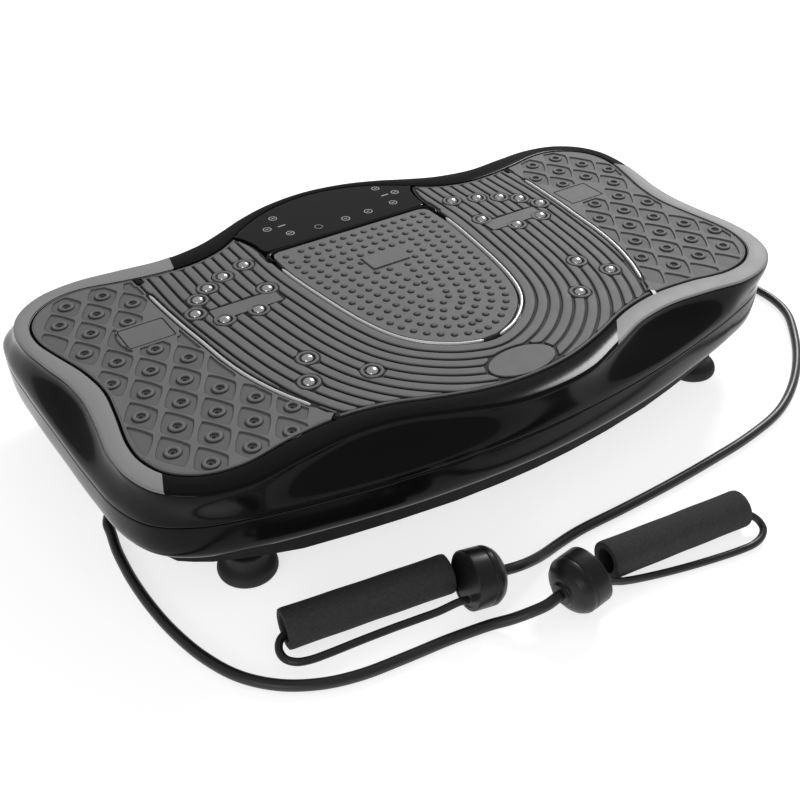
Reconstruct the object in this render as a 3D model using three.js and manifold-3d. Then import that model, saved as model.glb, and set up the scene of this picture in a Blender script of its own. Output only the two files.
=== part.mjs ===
// Vibration plate: a rocking platform on a base tray, with a belt drive inside and two
// pull bands whose foam grips lie on the floor in front of it.
// Units are millimetres, +Z is up, +X is the long way and +Y points to the control panel.
// The origin is on the floor under the middle of the plate.
import * as THREE from "three";
import { mergeVertices } from "three/addons/utils/BufferGeometryUtils.js";
import Module from "manifold-3d";

const wasm = await Module();
wasm.setup();

// ---- Driving dimensions ------------------------------------------------------------------

const GAP = 0.3; // clearance between pieces that would touch
const RING_POINTS = 56; // points round the lofted shells
const BEND_WEIGHT = 190; // length that a bend of one radian counts for when the points are spread

// Heights.
const FOOT_H = 24;
const TRAY_FLOOR_T = 3;
const TRAY_TOP = 47;
const CORNER_TUCK = 7; // how much further the tray draws in at its corners
const SKIRT_BOTTOM = 50;
const SEAM_Z = 85.6; // the line where the top cover meets the lower skirt
const WALL_TOP = 117.4; // where the side wall meets the rim's rounded edge
const RIM_TOP = 120.6;
const LEDGE_TOP = 111.9; // the step inside the rim that carries the mat's edge
const DECK_TOP = 110;
const DECK_BOTTOM = 104;
const MAT_BOTTOM = 112.2;
const WALL_T = 2.6; // moulded wall of the cover and the skirt

// Half outlines, from the near middle round the right end to the far middle.
const RIM_HALF = [
  [0, -202.5], [40, -198.5], [80, -184], [120, -169], [160, -163.5], [205, -167], [245, -171.5],
  [280, -163], [303, -144], [314, -118], [316, -90], [311.5, -52], [309, -18], [312, 12],
  [319, 42], [325, 78], [323, 108], [311, 131], [288, 148], [255, 155], [215, 152.5],
  [175, 149], [135, 156], [105, 169], [80, 181.5], [45, 194], [0, 200],
];
const RECESS_HALF = [
  [0, -180.7], [40, -177], [80, -165.5], [120, -150.5], [160, -143.8], [200, -146], [240, -152.5],
  [270, -147], [291, -130.5], [300.5, -107], [301.5, -85], [295.5, -45], [292.5, -15],
  [297, 18], [306, 48], [313.5, 78], [311.5, 103], [299, 123], [278, 136], [255, 139],
  [222, 132.5], [190, 127.5], [155, 127], [125, 135.5], [105, 148], [85, 163], [60, 177.5],
  [30, 187.5], [0, 191],
];
const SEAM_HALF = [
  [0, -203.8], [60, -201.3], [120, -194.8], [180, -184.2], [240, -170.5], [285, -155],
  [310, -135], [323, -105], [328, -60], [331, 0], [333.5, 60], [333.5, 110], [327, 142],
  [308, 161], [270, 169.5], [210, 180], [140, 192.5], [70, 200.8], [0, 203.5],
];
const ARC_HALF = [ // centre line of the trim beside the middle pad
  [90.5, 72], [89, 50], [86.5, 28], [83.5, 5], [79.5, -22], [74, -48], [66, -72],
  [56, -88.5], [42.5, -102], [27, -112.5], [8.5, -119.5],
];
const LINE_HALF = [ // centre line of the trim between the ribs and the end pattern
  [208.3, 95], [206.5, 65], [204, 35], [200.5, 5], [197, -28], [192, -55], [186, -76],
  [178.5, -96], [168.5, -117],
];
const MAGNETS = [
  [116.3, 97.9], [141.2, 89.4], [161.3, 78.4], [176.5, 65], [187.3, 45.7], [170.4, 24.5],
  [139.5, 22.7], [117.5, 49.7], [140.7, -62.9], [155.3, -91.4], [107, -105.7],
];
const TAB_SPOTS = [ // rim tabs that key into the mat: x, y of the root, direction in degrees
  [207.5, 134, -91], [157.5, -148, 66],
];

// Middle pad and control panel.
const PAD_TOP_Y = 102;
const PANEL_NEAR_Y = 107.5;
const PANEL_HALF_NEAR = 88;
const PANEL_HALF_FAR = 99;
const PANEL_SHOULDER_Y = 148;
const LENS_T = 2.4;

// Trim and magnets.
const STRIP_W = 2.4;
const STRIP_BOTTOM = 117.4;
const STRIP_TOP = 121.4;
const MAGNET_R = 5.2;
const MAGNET_TOP = 123.4;
const MAGNET_HOLE_R = 6.6;
const BAND_T = 0.8; // the silver plates let into the rim
const BAND_SINK = 1.0;
const BAND_DEGREES = { // directions from the origin between which each silver plate runs
  left: { outer: [137.7, 206.4], inner: [144, 203.7] },
  right: { outer: [-66.7, 10.6], inner: [-56.7, 13.4] },
};

// Drive.
const PIVOT_Z = 80; // the axle the deck rocks on, above x = 0
const AXLE_R = 8;
const CRANK = { x: 100, z: 58 };
const CRANK_R = 6;
const THROW = 2.1; // offset of the eccentric discs
const DISC_R = 14;
const DISC_Y = 112;
const PIN_Z = 94;
const PIN_R = 5;
const MOTOR = { x: 205, z: 60, r: 29, length: 94 };
const DRIVEN_R = 26;
const DRIVER_R = 12;
const BELT_Y = [11, 25];
const BELT_T = 2.4;

// Feet and bump stops.
const FOOT_SPOTS = {
  front_left: [-240, -133],
  front_right: [240, -133],
  rear_left: [-240, 119],
  rear_right: [240, 119],
};
const FOOT_R = 24;
const STOP_SPOTS = {
  front_left: [-258, -95],
  front_right: [258, -95],
  rear_left: [-258, 85],
  rear_right: [258, 85],
};
const STOP_TOP = 98.2;
const POST_TOP = 80;

// Rear wall fittings.
const REAR_Y = 187.4; // outside of the tray's rear wall at the middle
const INLET_X = -24;
const SWITCH_X = 24;
const FITTING_Z = 37;
const ROCKER_REST_DEG = 8;

// Pull bands, grips and hooks.
const BAND_R = 4.25;
const LOOP_R = 3;
const GRIP_R = 15.5;
const GRIP_BORE_R = 10;
const BELL_R = 23;
const BELL_TILT = THREE.MathUtils.degToRad(6);
const BELL_LENGTH = 31.5;
const BELL_SHOULDER = 17; // where the bell's dome begins, and where it touches the floor
const CORD_GAP = 0.5;
const EYE_X = 286;
const EYE_Y = 15;
const EYE_Z = 12;
const HOOK_WIRE_R = 2;
const HOOK_BEND_R = 7;
const HOOK_REACH = 24;
const HOOK_END = 44;
const HOOK_SLACK = 2.1; // how far the hook is pulled along from the eye's bar

const HANDLES = {
  // the right band crosses in front of the plate to the left grip, the left band to the right grip
  left: {
    grip: [[-252, -213.3], [-122, -233.8]],
    bell: [-121.8, -254.1],
    bellDeg: -8.2,
    gripSide: 1,
    strandAside: 15.5,
    eyeX: EYE_X,
    hookDeg: -8,
  },
  right: {
    grip: [[115.7, -305.7], [-15.3, -289.7]],
    bell: [-39.5, -298.7],
    bellDeg: 184.3,
    gripSide: -1,
    strandAside: 11,
    eyeX: -EYE_X,
    hookDeg: 240,
  },
};
// The routes between the hooks and the bells, and between the bells' two strand holes.
const BAND_ROUTES = {
  left: [
    [356, 4, 6.5], [372, -3.5, 4.6], [388, -17, 4.5], [400, -36, 4.5], [407, -60, 4.5], [408.5, -82, 4.5],
    [405, -102, 4.5], [396, -122, 4.5], [380, -142, 4.5], [344, -177.3, 4.5], [300, -208.5, 4.5],
    [255.2, -229.1, 4.5], [204, -239, 4.5], [157.5, -242.9, 4.5], [100, -245.5, 4.5], [43, -246, 4.5],
    [5, -245.5, 4.5], [-10, -246.2, 4.5], [-26, -248.6, 5.5], [-44, -253.2, 9], [-61, -257.8, 14.8],
  ],
  right: [
    [-316, -44, 7], [-318.5, -60, 4.8], [-320, -80, 4.5], [-320.5, -100, 4.5], [-319.2, -129.3, 4.5],
    [-315, -162, 4.5], [-306, -196.8, 4.5], [-292.5, -225, 4.5], [-272.9, -246.4, 4.5], [-249, -261, 4.5],
    [-222.6, -269.6, 4.5], [-188, -274.5, 4.5], [-155, -278, 4.5], [-136, -281, 4.6], [-120, -285, 6],
    [-107, -291.8, 10.2], [-95.5, -298, 16],
  ],
};
const LOOP_ROUTES = {
  left: [
    [-142, -233.6, 15.9], [-165, -228, 15.8], [-195, -222.6, 15.7], [-224, -218, 15.5],
    [-239, -215.7, 14.9], [-250.5, -215.6, 13.8], [-257.4, -218.4, 12.4], [-261.4, -224.8, 10.8],
    [-261, -232.6, 9.8], [-255.6, -239, 9.4], [-246.5, -242.6, 9.2], [-233, -244.8, 9.2],
    [-208, -247.5, 9.2], [-183, -250.8, 9.4], [-163.5, -254.2, 10], [-148, -258, 12],
  ],
  right: [
    [-20, -288.2, 16.2], [-2, -290.4, 15.9], [20, -293.4, 15.8], [50, -297.5, 15.8], [84, -302, 15.7],
    [98, -304.2, 15.5], [107, -306.6, 14.8], [114.5, -309.8, 13.6], [120.2, -314, 12],
    [123.2, -319.8, 9.4], [122, -326.6, 6.8], [115.5, -331.2, 4.8], [105, -333, 3.8],
    [91, -331.5, 3.5], [70, -327.5, 3.5], [40, -320.5, 3.5], [8, -313, 5.6], [-13, -309.4, 10.2],
  ],
};

// ---- Materials ---------------------------------------------------------------------------

function material(color, roughness, metalness = 0) {
  return new THREE.MeshStandardMaterial({ color, roughness, metalness });
}

const LOOK = {
  gloss: material(0x0b0b0c, 0.12),
  matteBlack: material(0x141414, 0.65),
  matRubber: material(0x6c6c6c, 0.75),
  silver: material(0x9a9a9a, 0.4, 0.5),
  chrome: material(0xd8d8d8, 0.08, 1),
  glass: material(0x060606, 0.05),
  steel: material(0x8f9296, 0.35, 0.9),
  zinc: material(0xb4b6b8, 0.4, 0.8),
  rubber: material(0x151515, 0.8),
  foam: material(0x323232, 0.95),
  board: material(0x1d5a33, 0.5),
  band: material(0x181818, 0.45),
};

// ---- Solids from meshes ------------------------------------------------------------------

// A closed geometry as a manifold solid, moved by an optional matrix.
function solid(geometry, matrix) {
  const bare = geometry.index ? geometry.toNonIndexed() : geometry.clone();
  bare.deleteAttribute("normal");
  bare.deleteAttribute("uv");
  if (matrix) bare.applyMatrix4(matrix);
  const merged = mergeVertices(bare, 1e-4);
  return new wasm.Manifold(
    new wasm.Mesh({
      numProp: 3,
      vertProperties: merged.attributes.position.array,
      triVerts: new Uint32Array(merged.index.array),
    }),
  );
}

function geometryOf(body) {
  const mesh = body.getMesh();
  const geometry = new THREE.BufferGeometry();
  geometry.setAttribute("position", new THREE.BufferAttribute(new Float32Array(mesh.vertProperties), 3));
  geometry.setIndex(new THREE.BufferAttribute(mesh.triVerts, 1));
  geometry.computeVertexNormals();
  return geometry;
}

function union(bodies) {
  return bodies.reduce((joined, body) => joined.add(body));
}

function cut(body, tools) {
  return tools.reduce((left, tool) => left.subtract(tool), body);
}

const at = (x, y, z) => new THREE.Matrix4().makeTranslation(x, y, z);

function box(low, high) {
  const size = high.map((value, i) => value - low[i]);
  const middle = high.map((value, i) => (value + low[i]) / 2);
  return solid(new THREE.BoxGeometry(...size), at(...middle));
}

// A round bar from one point to another.
function bar(from, to, radius, sides = 16) {
  const start = new THREE.Vector3(...from);
  const along = new THREE.Vector3(...to).sub(start);
  const turn = new THREE.Quaternion().setFromUnitVectors(
    new THREE.Vector3(0, 1, 0),
    along.clone().normalize(),
  );
  const middle = start.clone().addScaledVector(along, 0.5);
  const place = new THREE.Matrix4().compose(middle, turn, new THREE.Vector3(1, 1, 1));
  return solid(new THREE.CylinderGeometry(radius, radius, along.length(), sides), place);
}

// A turned piece: profile pairs are [radius, distance along the axis from start].
function turned(profile, start, axis, sides = 24) {
  const points = profile.map(([r, s]) => new THREE.Vector2(r, s));
  const turn = new THREE.Quaternion().setFromUnitVectors(
    new THREE.Vector3(0, 1, 0),
    new THREE.Vector3(...axis).normalize(),
  );
  const place = new THREE.Matrix4().compose(
    new THREE.Vector3(...start),
    turn,
    new THREE.Vector3(1, 1, 1),
  );
  return solid(new THREE.LatheGeometry(points, sides), place);
}

// A flat outline, with optional holes, between two heights.
function slab(points, low, high, holes = []) {
  const shape = new THREE.Shape(points);
  holes.forEach((hole) => shape.holes.push(new THREE.Path(hole)));
  const geometry = new THREE.ExtrudeGeometry(shape, { depth: high - low, bevelEnabled: false });
  return solid(geometry, at(0, 0, low));
}

// A slab drawn in X and Z and given its thickness along Y.
function slabAlongY(points, yLow, yHigh, holes = []) {
  const shape = new THREE.Shape(points);
  holes.forEach((hole) => shape.holes.push(new THREE.Path(hole)));
  const geometry = new THREE.ExtrudeGeometry(shape, { depth: yHigh - yLow, bevelEnabled: false });
  const stand = new THREE.Matrix4().makeRotationX(Math.PI / 2).setPosition(0, yHigh, 0);
  return solid(geometry, stand);
}

function circle(x, y, radius, sides = 16) {
  return Array.from({ length: sides }, (_, i) => {
    const angle = (i / sides) * 2 * Math.PI;
    return new THREE.Vector2(x + radius * Math.cos(angle), y + radius * Math.sin(angle));
  });
}

// ---- Outlines ----------------------------------------------------------------------------

function smoothLine(points, count) {
  const curve = new THREE.CatmullRomCurve3(points.map(([x, y, z = 0]) => new THREE.Vector3(x, y, z)));
  return curve.getSpacedPoints(count);
}

const mirrored = ([x, ...rest]) => [-x, ...rest];

// The whole outline as a dense closed curve, from its right half.
function wholeOutline(half) {
  const left = half.slice(1, -1).reverse().map(mirrored);
  const points = [...half, ...left].map(([x, y]) => new THREE.Vector3(x, y, 0));
  const curve = new THREE.CatmullRomCurve3(points, true, "centripetal");
  return curve.getSpacedPoints(720).slice(0, -1);
}

const polar = (p) => Math.atan2(p.y, p.x);

const wrapped = (angle) => Math.atan2(Math.sin(angle), Math.cos(angle));

// The directions from the origin that every ring is sampled in: closer together where the rim bends.
function ringDirections() {
  const dense = wholeOutline(RIM_HALF);
  const next = (i) => dense[(i + 1) % dense.length];
  const heading = (i) => Math.atan2(next(i).y - dense[i].y, next(i).x - dense[i].x);
  let reached = 0;
  const reach = dense.map((p, i) => {
    const here = reached;
    const bend = Math.abs(wrapped(heading((i + 1) % dense.length) - heading(i)));
    reached += p.distanceTo(next(i)) + BEND_WEIGHT * bend;
    return here;
  });
  return Array.from({ length: RING_POINTS }, (_, k) => {
    const wanted = (k / RING_POINTS) * reached;
    return polar(dense[reach.findIndex((value) => value >= wanted)]);
  });
}

const DIRECTIONS = ringDirections();

// The outline's point in each of those directions.
function sampled(half) {
  const dense = wholeOutline(half);
  return DIRECTIONS.map((angle) => {
    const away = (p) => Math.abs(wrapped(polar(p) - angle));
    const best = dense.reduce((a, b) => (away(a) < away(b) ? a : b));
    const radius = Math.hypot(best.x, best.y);
    return new THREE.Vector2(radius * Math.cos(angle), radius * Math.sin(angle));
  });
}

// The outline moved inwards by a distance, point for point.
function inset(outline, distance) {
  const n = outline.length;
  return outline.map((p, i) => {
    const along = outline[(i + 1) % n].clone().sub(outline[(i + n - 1) % n]).normalize();
    return new THREE.Vector2(p.x - along.y * distance, p.y + along.x * distance);
  });
}

const RIM = sampled(RIM_HALF);
const RECESS = sampled(RECESS_HALF);
const SEAM = sampled(SEAM_HALF);

// The side wall swells from the rim's waisted outline out to the seam's plain one.
function wallRing(height, thickness) {
  const down = (WALL_TOP - height) / (WALL_TOP - SEAM_Z);
  const share = THREE.MathUtils.smoothstep(down, 0.02, 0.86);
  const outline = RIM.map((p, i) => p.clone().lerp(SEAM[i], share));
  return ring(outline, thickness, height);
}

function ring(outline, distance, height) {
  return inset(outline, distance).map((p) => new THREE.Vector3(p.x, p.y, height));
}

// Quads between neighbouring rings, turned outwards for rings that climb an outer face.
function bridge(rings, closed) {
  const n = rings[0].length;
  const faces = [];
  const last = closed ? rings.length : rings.length - 1;
  for (let k = 0; k < last; k += 1) {
    const a = k * n;
    const b = ((k + 1) % rings.length) * n;
    for (let i = 0; i < n; i += 1) {
      const j = (i + 1) % n;
      faces.push(a + i, a + j, b + j, a + i, b + j, b + i);
    }
  }
  return faces;
}

function ringGeometry(rings, faces) {
  const geometry = new THREE.BufferGeometry();
  const positions = rings.flat().flatMap((p) => [p.x, p.y, p.z]);
  geometry.setAttribute("position", new THREE.Float32BufferAttribute(positions, 3));
  geometry.setIndex(faces);
  return geometry;
}

// A hollow band: the rings go once round its section, up the outside and down the inside.
function hoop(rings) {
  return solid(ringGeometry(rings, bridge(rings, true)));
}

// A filled body: the rings climb its outside, and flat faces close both ends.
function filled(rings) {
  const n = rings[0].length;
  const faces = bridge(rings, false);
  const cap = THREE.ShapeUtils.triangulateShape(rings[0].map((p) => new THREE.Vector2(p.x, p.y)), []);
  const topCap = THREE.ShapeUtils.triangulateShape(rings.at(-1).map((p) => new THREE.Vector2(p.x, p.y)), []);
  const top = (rings.length - 1) * n;
  cap.forEach(([a, b, c]) => faces.push(a, c, b));
  topCap.forEach(([a, b, c]) => faces.push(top + a, top + b, top + c));
  return solid(ringGeometry(rings, faces));
}

// ---- Scene graph helpers -----------------------------------------------------------------

const plate = new THREE.Group();

function addTo(group, name, body, look) {
  const mesh = new THREE.Mesh(geometryOf(body), look);
  mesh.name = name;
  group.add(mesh);
}

function subgroup() {
  const group = new THREE.Group();
  plate.add(group);
  return group;
}

// ---- Base: tray, feet, stops -------------------------------------------------------------

// The tray's outline follows the skirt's and draws in further at the four corners.
function trayRing(distance, height) {
  const { smoothstep } = THREE.MathUtils;
  const even = inset(SEAM, distance);
  const tucked = inset(SEAM, distance + CORNER_TUCK);
  return SEAM.map((p, i) => {
    const share = smoothstep(Math.abs(p.x), 205, 295) * smoothstep(Math.abs(p.y), 30, 110);
    const spot = even[i].lerp(tucked[i], share);
    return new THREE.Vector3(spot.x, spot.y, height);
  });
}

function baseTray() {
  const floorTop = FOOT_H + TRAY_FLOOR_T;
  const outside = filled([trayRing(21, FOOT_H), trayRing(16, FOOT_H + 5), trayRing(16, TRAY_TOP)]);
  const inside = filled([trayRing(19, floorTop), trayRing(19, TRAY_TOP + 1)]);
  const posts = Object.values(STOP_SPOTS).map(([x, y]) =>
    bar([x, y, floorTop - 1], [x, y, POST_TOP], 10, 12),
  );
  const inletHole = box([INLET_X - 12.5, 170, FITTING_Z - 7], [INLET_X + 12.5, 200, FITTING_Z + 7]);
  const switchHole = box([SWITCH_X - 10.5, 170, FITTING_Z - 7], [SWITCH_X + 10.5, 200, FITTING_Z + 7]);
  return cut(union([cut(outside, [inside]), ...posts]), [inletHole, switchHole]);
}

function foot([x, y]) {
  const top = FOOT_H - GAP;
  const profile = [[0, 0], [20, 0], [FOOT_R, 4], [23, 11], [16, 16], [16, top], [0, top]];
  return turned(profile, [x, y, 0], [0, 0, 1], 16);
}

function bumpStop([x, y]) {
  const profile = [[0, 0], [11, 0], [11, 12], [8, STOP_TOP - POST_TOP - GAP], [0, STOP_TOP - POST_TOP - GAP]];
  return turned(profile, [x, y, POST_TOP + GAP], [0, 0, 1], 12);
}

// ---- Base: drive housings ----------------------------------------------------------------

// A bearing block that stands on the tray's floor round a shaft along Y.
function bearingBlock(x, z, y, halfWidth, boreR, height) {
  const bottom = FOOT_H + TRAY_FLOOR_T + GAP;
  const outline = [
    new THREE.Vector2(x - halfWidth - 9, bottom),
    new THREE.Vector2(x + halfWidth + 9, bottom),
    new THREE.Vector2(x + halfWidth + 9, bottom + 6),
    new THREE.Vector2(x + halfWidth, bottom + 6),
    new THREE.Vector2(x + halfWidth, height - 7),
    new THREE.Vector2(x + halfWidth - 7, height),
    new THREE.Vector2(x - halfWidth + 7, height),
    new THREE.Vector2(x - halfWidth, height - 7),
    new THREE.Vector2(x - halfWidth, bottom + 6),
    new THREE.Vector2(x - halfWidth - 9, bottom + 6),
  ];
  return slabAlongY(outline, y - 7, y + 7, [circle(x, z, boreR, 16)]);
}

function motorBody() {
  const { r, length } = MOTOR;
  const profile = [
    [0, 0], [12, 0], [12, 5], [r - 4, 5], [r, 9], [r, length - 8], [r - 3, length - 5],
    [12, length - 5], [12, length], [0, length],
  ];
  return turned(profile, [MOTOR.x, 1 - length, MOTOR.z], [0, 1, 0], 18);
}

function motorBracket() {
  const bottom = FOOT_H + TRAY_FLOOR_T + GAP;
  const upright = slabAlongY(
    [
      new THREE.Vector2(MOTOR.x - 32, bottom),
      new THREE.Vector2(MOTOR.x + 32, bottom),
      new THREE.Vector2(MOTOR.x + 32, MOTOR.z + 20),
      new THREE.Vector2(MOTOR.x + 20, MOTOR.z + 31),
      new THREE.Vector2(MOTOR.x - 20, MOTOR.z + 31),
      new THREE.Vector2(MOTOR.x - 32, MOTOR.z + 20),
    ],
    1 + GAP,
    1 + GAP + 3,
    [circle(MOTOR.x, MOTOR.z, 6, 16)],
  );
  const sole = box([MOTOR.x - 32, -24, bottom], [MOTOR.x + 32, 3, bottom + 2.5]);
  return union([upright, sole]);
}

function motorPulley() {
  const wheel = turned(
    [[0, 0], [DRIVER_R + 2, 0], [DRIVER_R + 2, 1.5], [DRIVER_R, 1.5], [DRIVER_R, 16.5], [DRIVER_R + 2, 16.5],
      [DRIVER_R + 2, 18], [0, 18]],
    [MOTOR.x, 9, MOTOR.z], [0, 1, 0], 14,
  );
  return union([wheel, bar([MOTOR.x, 1.6, MOTOR.z], [MOTOR.x, 29, MOTOR.z], 4, 12)]);
}

function drivenPulley() {
  const rim = [
    [CRANK_R + GAP, 0], [DRIVEN_R + 2, 0], [DRIVEN_R + 2, 1.5], [DRIVEN_R, 1.5], [DRIVEN_R, 16.5],
    [DRIVEN_R + 2, 16.5], [DRIVEN_R + 2, 18], [CRANK_R + GAP, 18], [CRANK_R + GAP, 0],
  ];
  return turned(rim, [CRANK.x, 9, CRANK.z], [0, 1, 0], 22);
}

// The outline of a belt round the two pulleys, at a distance from their rims.
function beltOutline(offset) {
  const dx = MOTOR.x - CRANK.x;
  const dz = MOTOR.z - CRANK.z;
  const tilt = Math.atan2(dz, dx);
  const bigR = DRIVEN_R + offset;
  const smallR = DRIVER_R + offset;
  const lean = Math.acos((bigR - smallR) / Math.hypot(dx, dz));
  const arc = (centre, radius, from, to, steps) =>
    Array.from({ length: steps + 1 }, (_, i) => {
      const angle = from + ((to - from) * i) / steps;
      return new THREE.Vector2(centre.x + radius * Math.cos(angle), centre.z + radius * Math.sin(angle));
    });
  return [
    ...arc(CRANK, bigR, tilt + lean, tilt + 2 * Math.PI - lean, 14),
    ...arc(MOTOR, smallR, tilt - lean, tilt + lean, 8),
  ];
}

function driveBelt() {
  return slabAlongY(beltOutline(GAP + BELT_T), BELT_Y[0], BELT_Y[1], [beltOutline(0.45)]);
}

function eccentricShaft() {
  const shaft = bar([CRANK.x, -126, CRANK.z], [CRANK.x, 126, CRANK.z], CRANK_R, 12);
  const discs = [-1, 1].map((side) =>
    bar(
      [CRANK.x + THROW, side * DISC_Y - 4.5, CRANK.z],
      [CRANK.x + THROW, side * DISC_Y + 4.5, CRANK.z],
      DISC_R,
      20,
    ),
  );
  return union([shaft, ...discs]);
}

// A link from the deck's pin down to the ring round the eccentric disc.
function driveLink(side) {
  const innerR = DISC_R + 2 * THROW + 0.6;
  const outerR = innerR + 5.5;
  const y = [side * DISC_Y - 3.8, side * DISC_Y + 3.8];
  const bigEnd = slabAlongY(circle(CRANK.x, CRANK.z, outerR, 24), ...y);
  const smallEnd = slabAlongY(circle(CRANK.x, PIN_Z, 9, 14), ...y);
  const neck = box([CRANK.x - 8, y[0], CRANK.z + 18], [CRANK.x + 8, y[1], PIN_Z]);
  const bore = slabAlongY(circle(CRANK.x, CRANK.z, innerR, 24), y[0] - 1, y[1] + 1);
  const pinBore = slabAlongY(circle(CRANK.x, PIN_Z, PIN_R + 0.4, 14), y[0] - 1, y[1] + 1);
  return cut(union([bigEnd, smallEnd, neck]), [bore, pinBore]);
}

// ---- Base: electrics ---------------------------------------------------------------------

function controlBoard() {
  const low = FOOT_H + TRAY_FLOOR_T + GAP;
  const sheet = box([-180, -62, 36], [-80, 38, 37.6]);
  const legs = [[-174, -56], [-86, -56], [-174, 32], [-86, 32]].map(([x, y]) =>
    bar([x, y, low], [x, y, 36.5], 3.5, 10),
  );
  const parts = [
    box([-170, -50, 37], [-140, -8, 62]),
    box([-130, -50, 37], [-96, -40, 66]),
    box([-168, 6, 37], [-150, 26, 50]),
    bar([-112, -18, 37], [-112, -18, 60], 9, 14),
    bar([-92, 10, 37], [-92, 10, 55], 7, 12),
  ];
  return union([sheet, ...legs, ...parts]);
}

function powerInlet() {
  const flange = box([INLET_X - 16, REAR_Y, FITTING_Z - 9], [INLET_X + 16, REAR_Y + 2, FITTING_Z + 9]);
  const body = box([INLET_X - 12, REAR_Y - 18, FITTING_Z - 6.5], [INLET_X + 12, REAR_Y + 1, FITTING_Z + 6.5]);
  const socket = box([INLET_X - 9, REAR_Y - 12, FITTING_Z - 4.5], [INLET_X + 9, REAR_Y + 3, FITTING_Z + 4.5]);
  return cut(union([flange, body]), [socket]);
}

function switchHousing() {
  const flange = box([SWITCH_X - 13, REAR_Y, FITTING_Z - 9], [SWITCH_X + 13, REAR_Y + 2, FITTING_Z + 9]);
  const body = box([SWITCH_X - 10, REAR_Y - 14, FITTING_Z - 6.5], [SWITCH_X + 10, REAR_Y + 1, FITTING_Z + 6.5]);
  const hollow = box([SWITCH_X - 8, REAR_Y - 9, FITTING_Z - 5], [SWITCH_X + 8, REAR_Y + 3, FITTING_Z + 5]);
  return cut(union([flange, body]), [hollow]);
}

// The rocker is drawn level and then pressed down at its off end.
function rockerKey() {
  const outline = [[-7, -4], [7, -4], [7, 3], [0, 1.6], [-7, 3]].map(([x, y]) => new THREE.Vector2(x, y));
  const geometry = new THREE.ExtrudeGeometry(new THREE.Shape(outline), { depth: 9, bevelEnabled: false });
  const place = new THREE.Matrix4()
    .makeTranslation(SWITCH_X, REAR_Y, FITTING_Z - 4.5)
    .multiply(new THREE.Matrix4().makeRotationZ(THREE.MathUtils.degToRad(-ROCKER_REST_DEG)));
  return solid(geometry, place);
}

// ---- Deck --------------------------------------------------------------------------------

const flat = (outline) => outline.map((p) => new THREE.Vector2(p.x, p.y));

function deckPlate() {
  const flange = slab(flat(inset(RECESS, 5)), DECK_BOTTOM, 108.7);
  const raised = slab(flat(inset(RECESS, 13)), 108.6, DECK_TOP);
  const window = box([-66, 120, DECK_BOTTOM - 1], [66, 161, DECK_TOP + 1]);
  const hangers = [-1, 1].map((side) =>
    slabAlongY(
      [
        new THREE.Vector2(-22, DECK_BOTTOM + 1),
        new THREE.Vector2(-13, PIVOT_Z - 12),
        new THREE.Vector2(13, PIVOT_Z - 12),
        new THREE.Vector2(22, DECK_BOTTOM + 1),
      ],
      side * 60 - 5,
      side * 60 + 5,
    ),
  );
  const ears = [-1, 1].flatMap((side) =>
    [-6.4, 6.4].map((shift) =>
      slabAlongY(
        [
          new THREE.Vector2(CRANK.x - 14, DECK_BOTTOM + 1),
          new THREE.Vector2(CRANK.x - 9, PIN_Z - 9),
          new THREE.Vector2(CRANK.x + 9, PIN_Z - 9),
          new THREE.Vector2(CRANK.x + 14, DECK_BOTTOM + 1),
        ],
        side * DISC_Y + shift - 2,
        side * DISC_Y + shift + 2,
      ),
    ),
  );
  const axleBore = slabAlongY(circle(0, PIVOT_Z, AXLE_R + 0.5, 16), -140, 140);
  const pinBore = slabAlongY(circle(CRANK.x, PIN_Z, PIN_R + 0.4, 14), -140, 140);
  return cut(union([flange, raised, ...hangers, ...ears]), [window, axleBore, pinBore]);
}

function topCover() {
  const outerWall = [90, 97, 103, 110, WALL_TOP].map((z) => wallRing(z, 0));
  const innerWall = [110, 100, 90].map((z) => wallRing(z, WALL_T));
  const shell = hoop([
    ring(SEAM, 0, SEAM_Z + 0.2),
    ...outerWall,
    ring(RIM, 0.9, 119.7),
    ring(RIM, 3, RIM_TOP),
    ring(RECESS, 0, RIM_TOP),
    ring(RECESS, 0, LEDGE_TOP),
    ring(RECESS, 12, LEDGE_TOP),
    ring(RECESS, 12, LEDGE_TOP - 2.9),
    ring(RECESS, -2.4, LEDGE_TOP - 2.9),
    ring(RECESS, -2.4, RIM_TOP - 3.2),
    ring(RIM, 3.4, RIM_TOP - 3.2),
    ...innerWall,
    ring(SEAM, WALL_T, SEAM_Z + 0.2),
  ]);
  return cut(union([shell, ...rimTabs(0)]), bandPockets());
}

// The short tabs of the rim that key into the mat, grown by a margin for the notches.
function rimTabs(margin) {
  const width = 4.4 + 2 * margin;
  const length = 15 + margin;
  return TAB_SPOTS.flatMap(([x, y, degrees]) =>
    [1, -1].map((side) => {
      const angle = THREE.MathUtils.degToRad(side > 0 ? degrees : 180 - degrees);
      const depth = RIM_TOP - LEDGE_TOP + (margin ? 2 : -0.8);
      const geometry = new THREE.BoxGeometry(length, width, depth);
      geometry.translate(length / 2, 0, LEDGE_TOP - (margin ? 1 : 0.2) + depth / 2);
      const place = new THREE.Matrix4().makeTranslation(side * x, y, 0);
      return solid(geometry, place.multiply(new THREE.Matrix4().makeRotationZ(angle)));
    }),
  );
}

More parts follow.
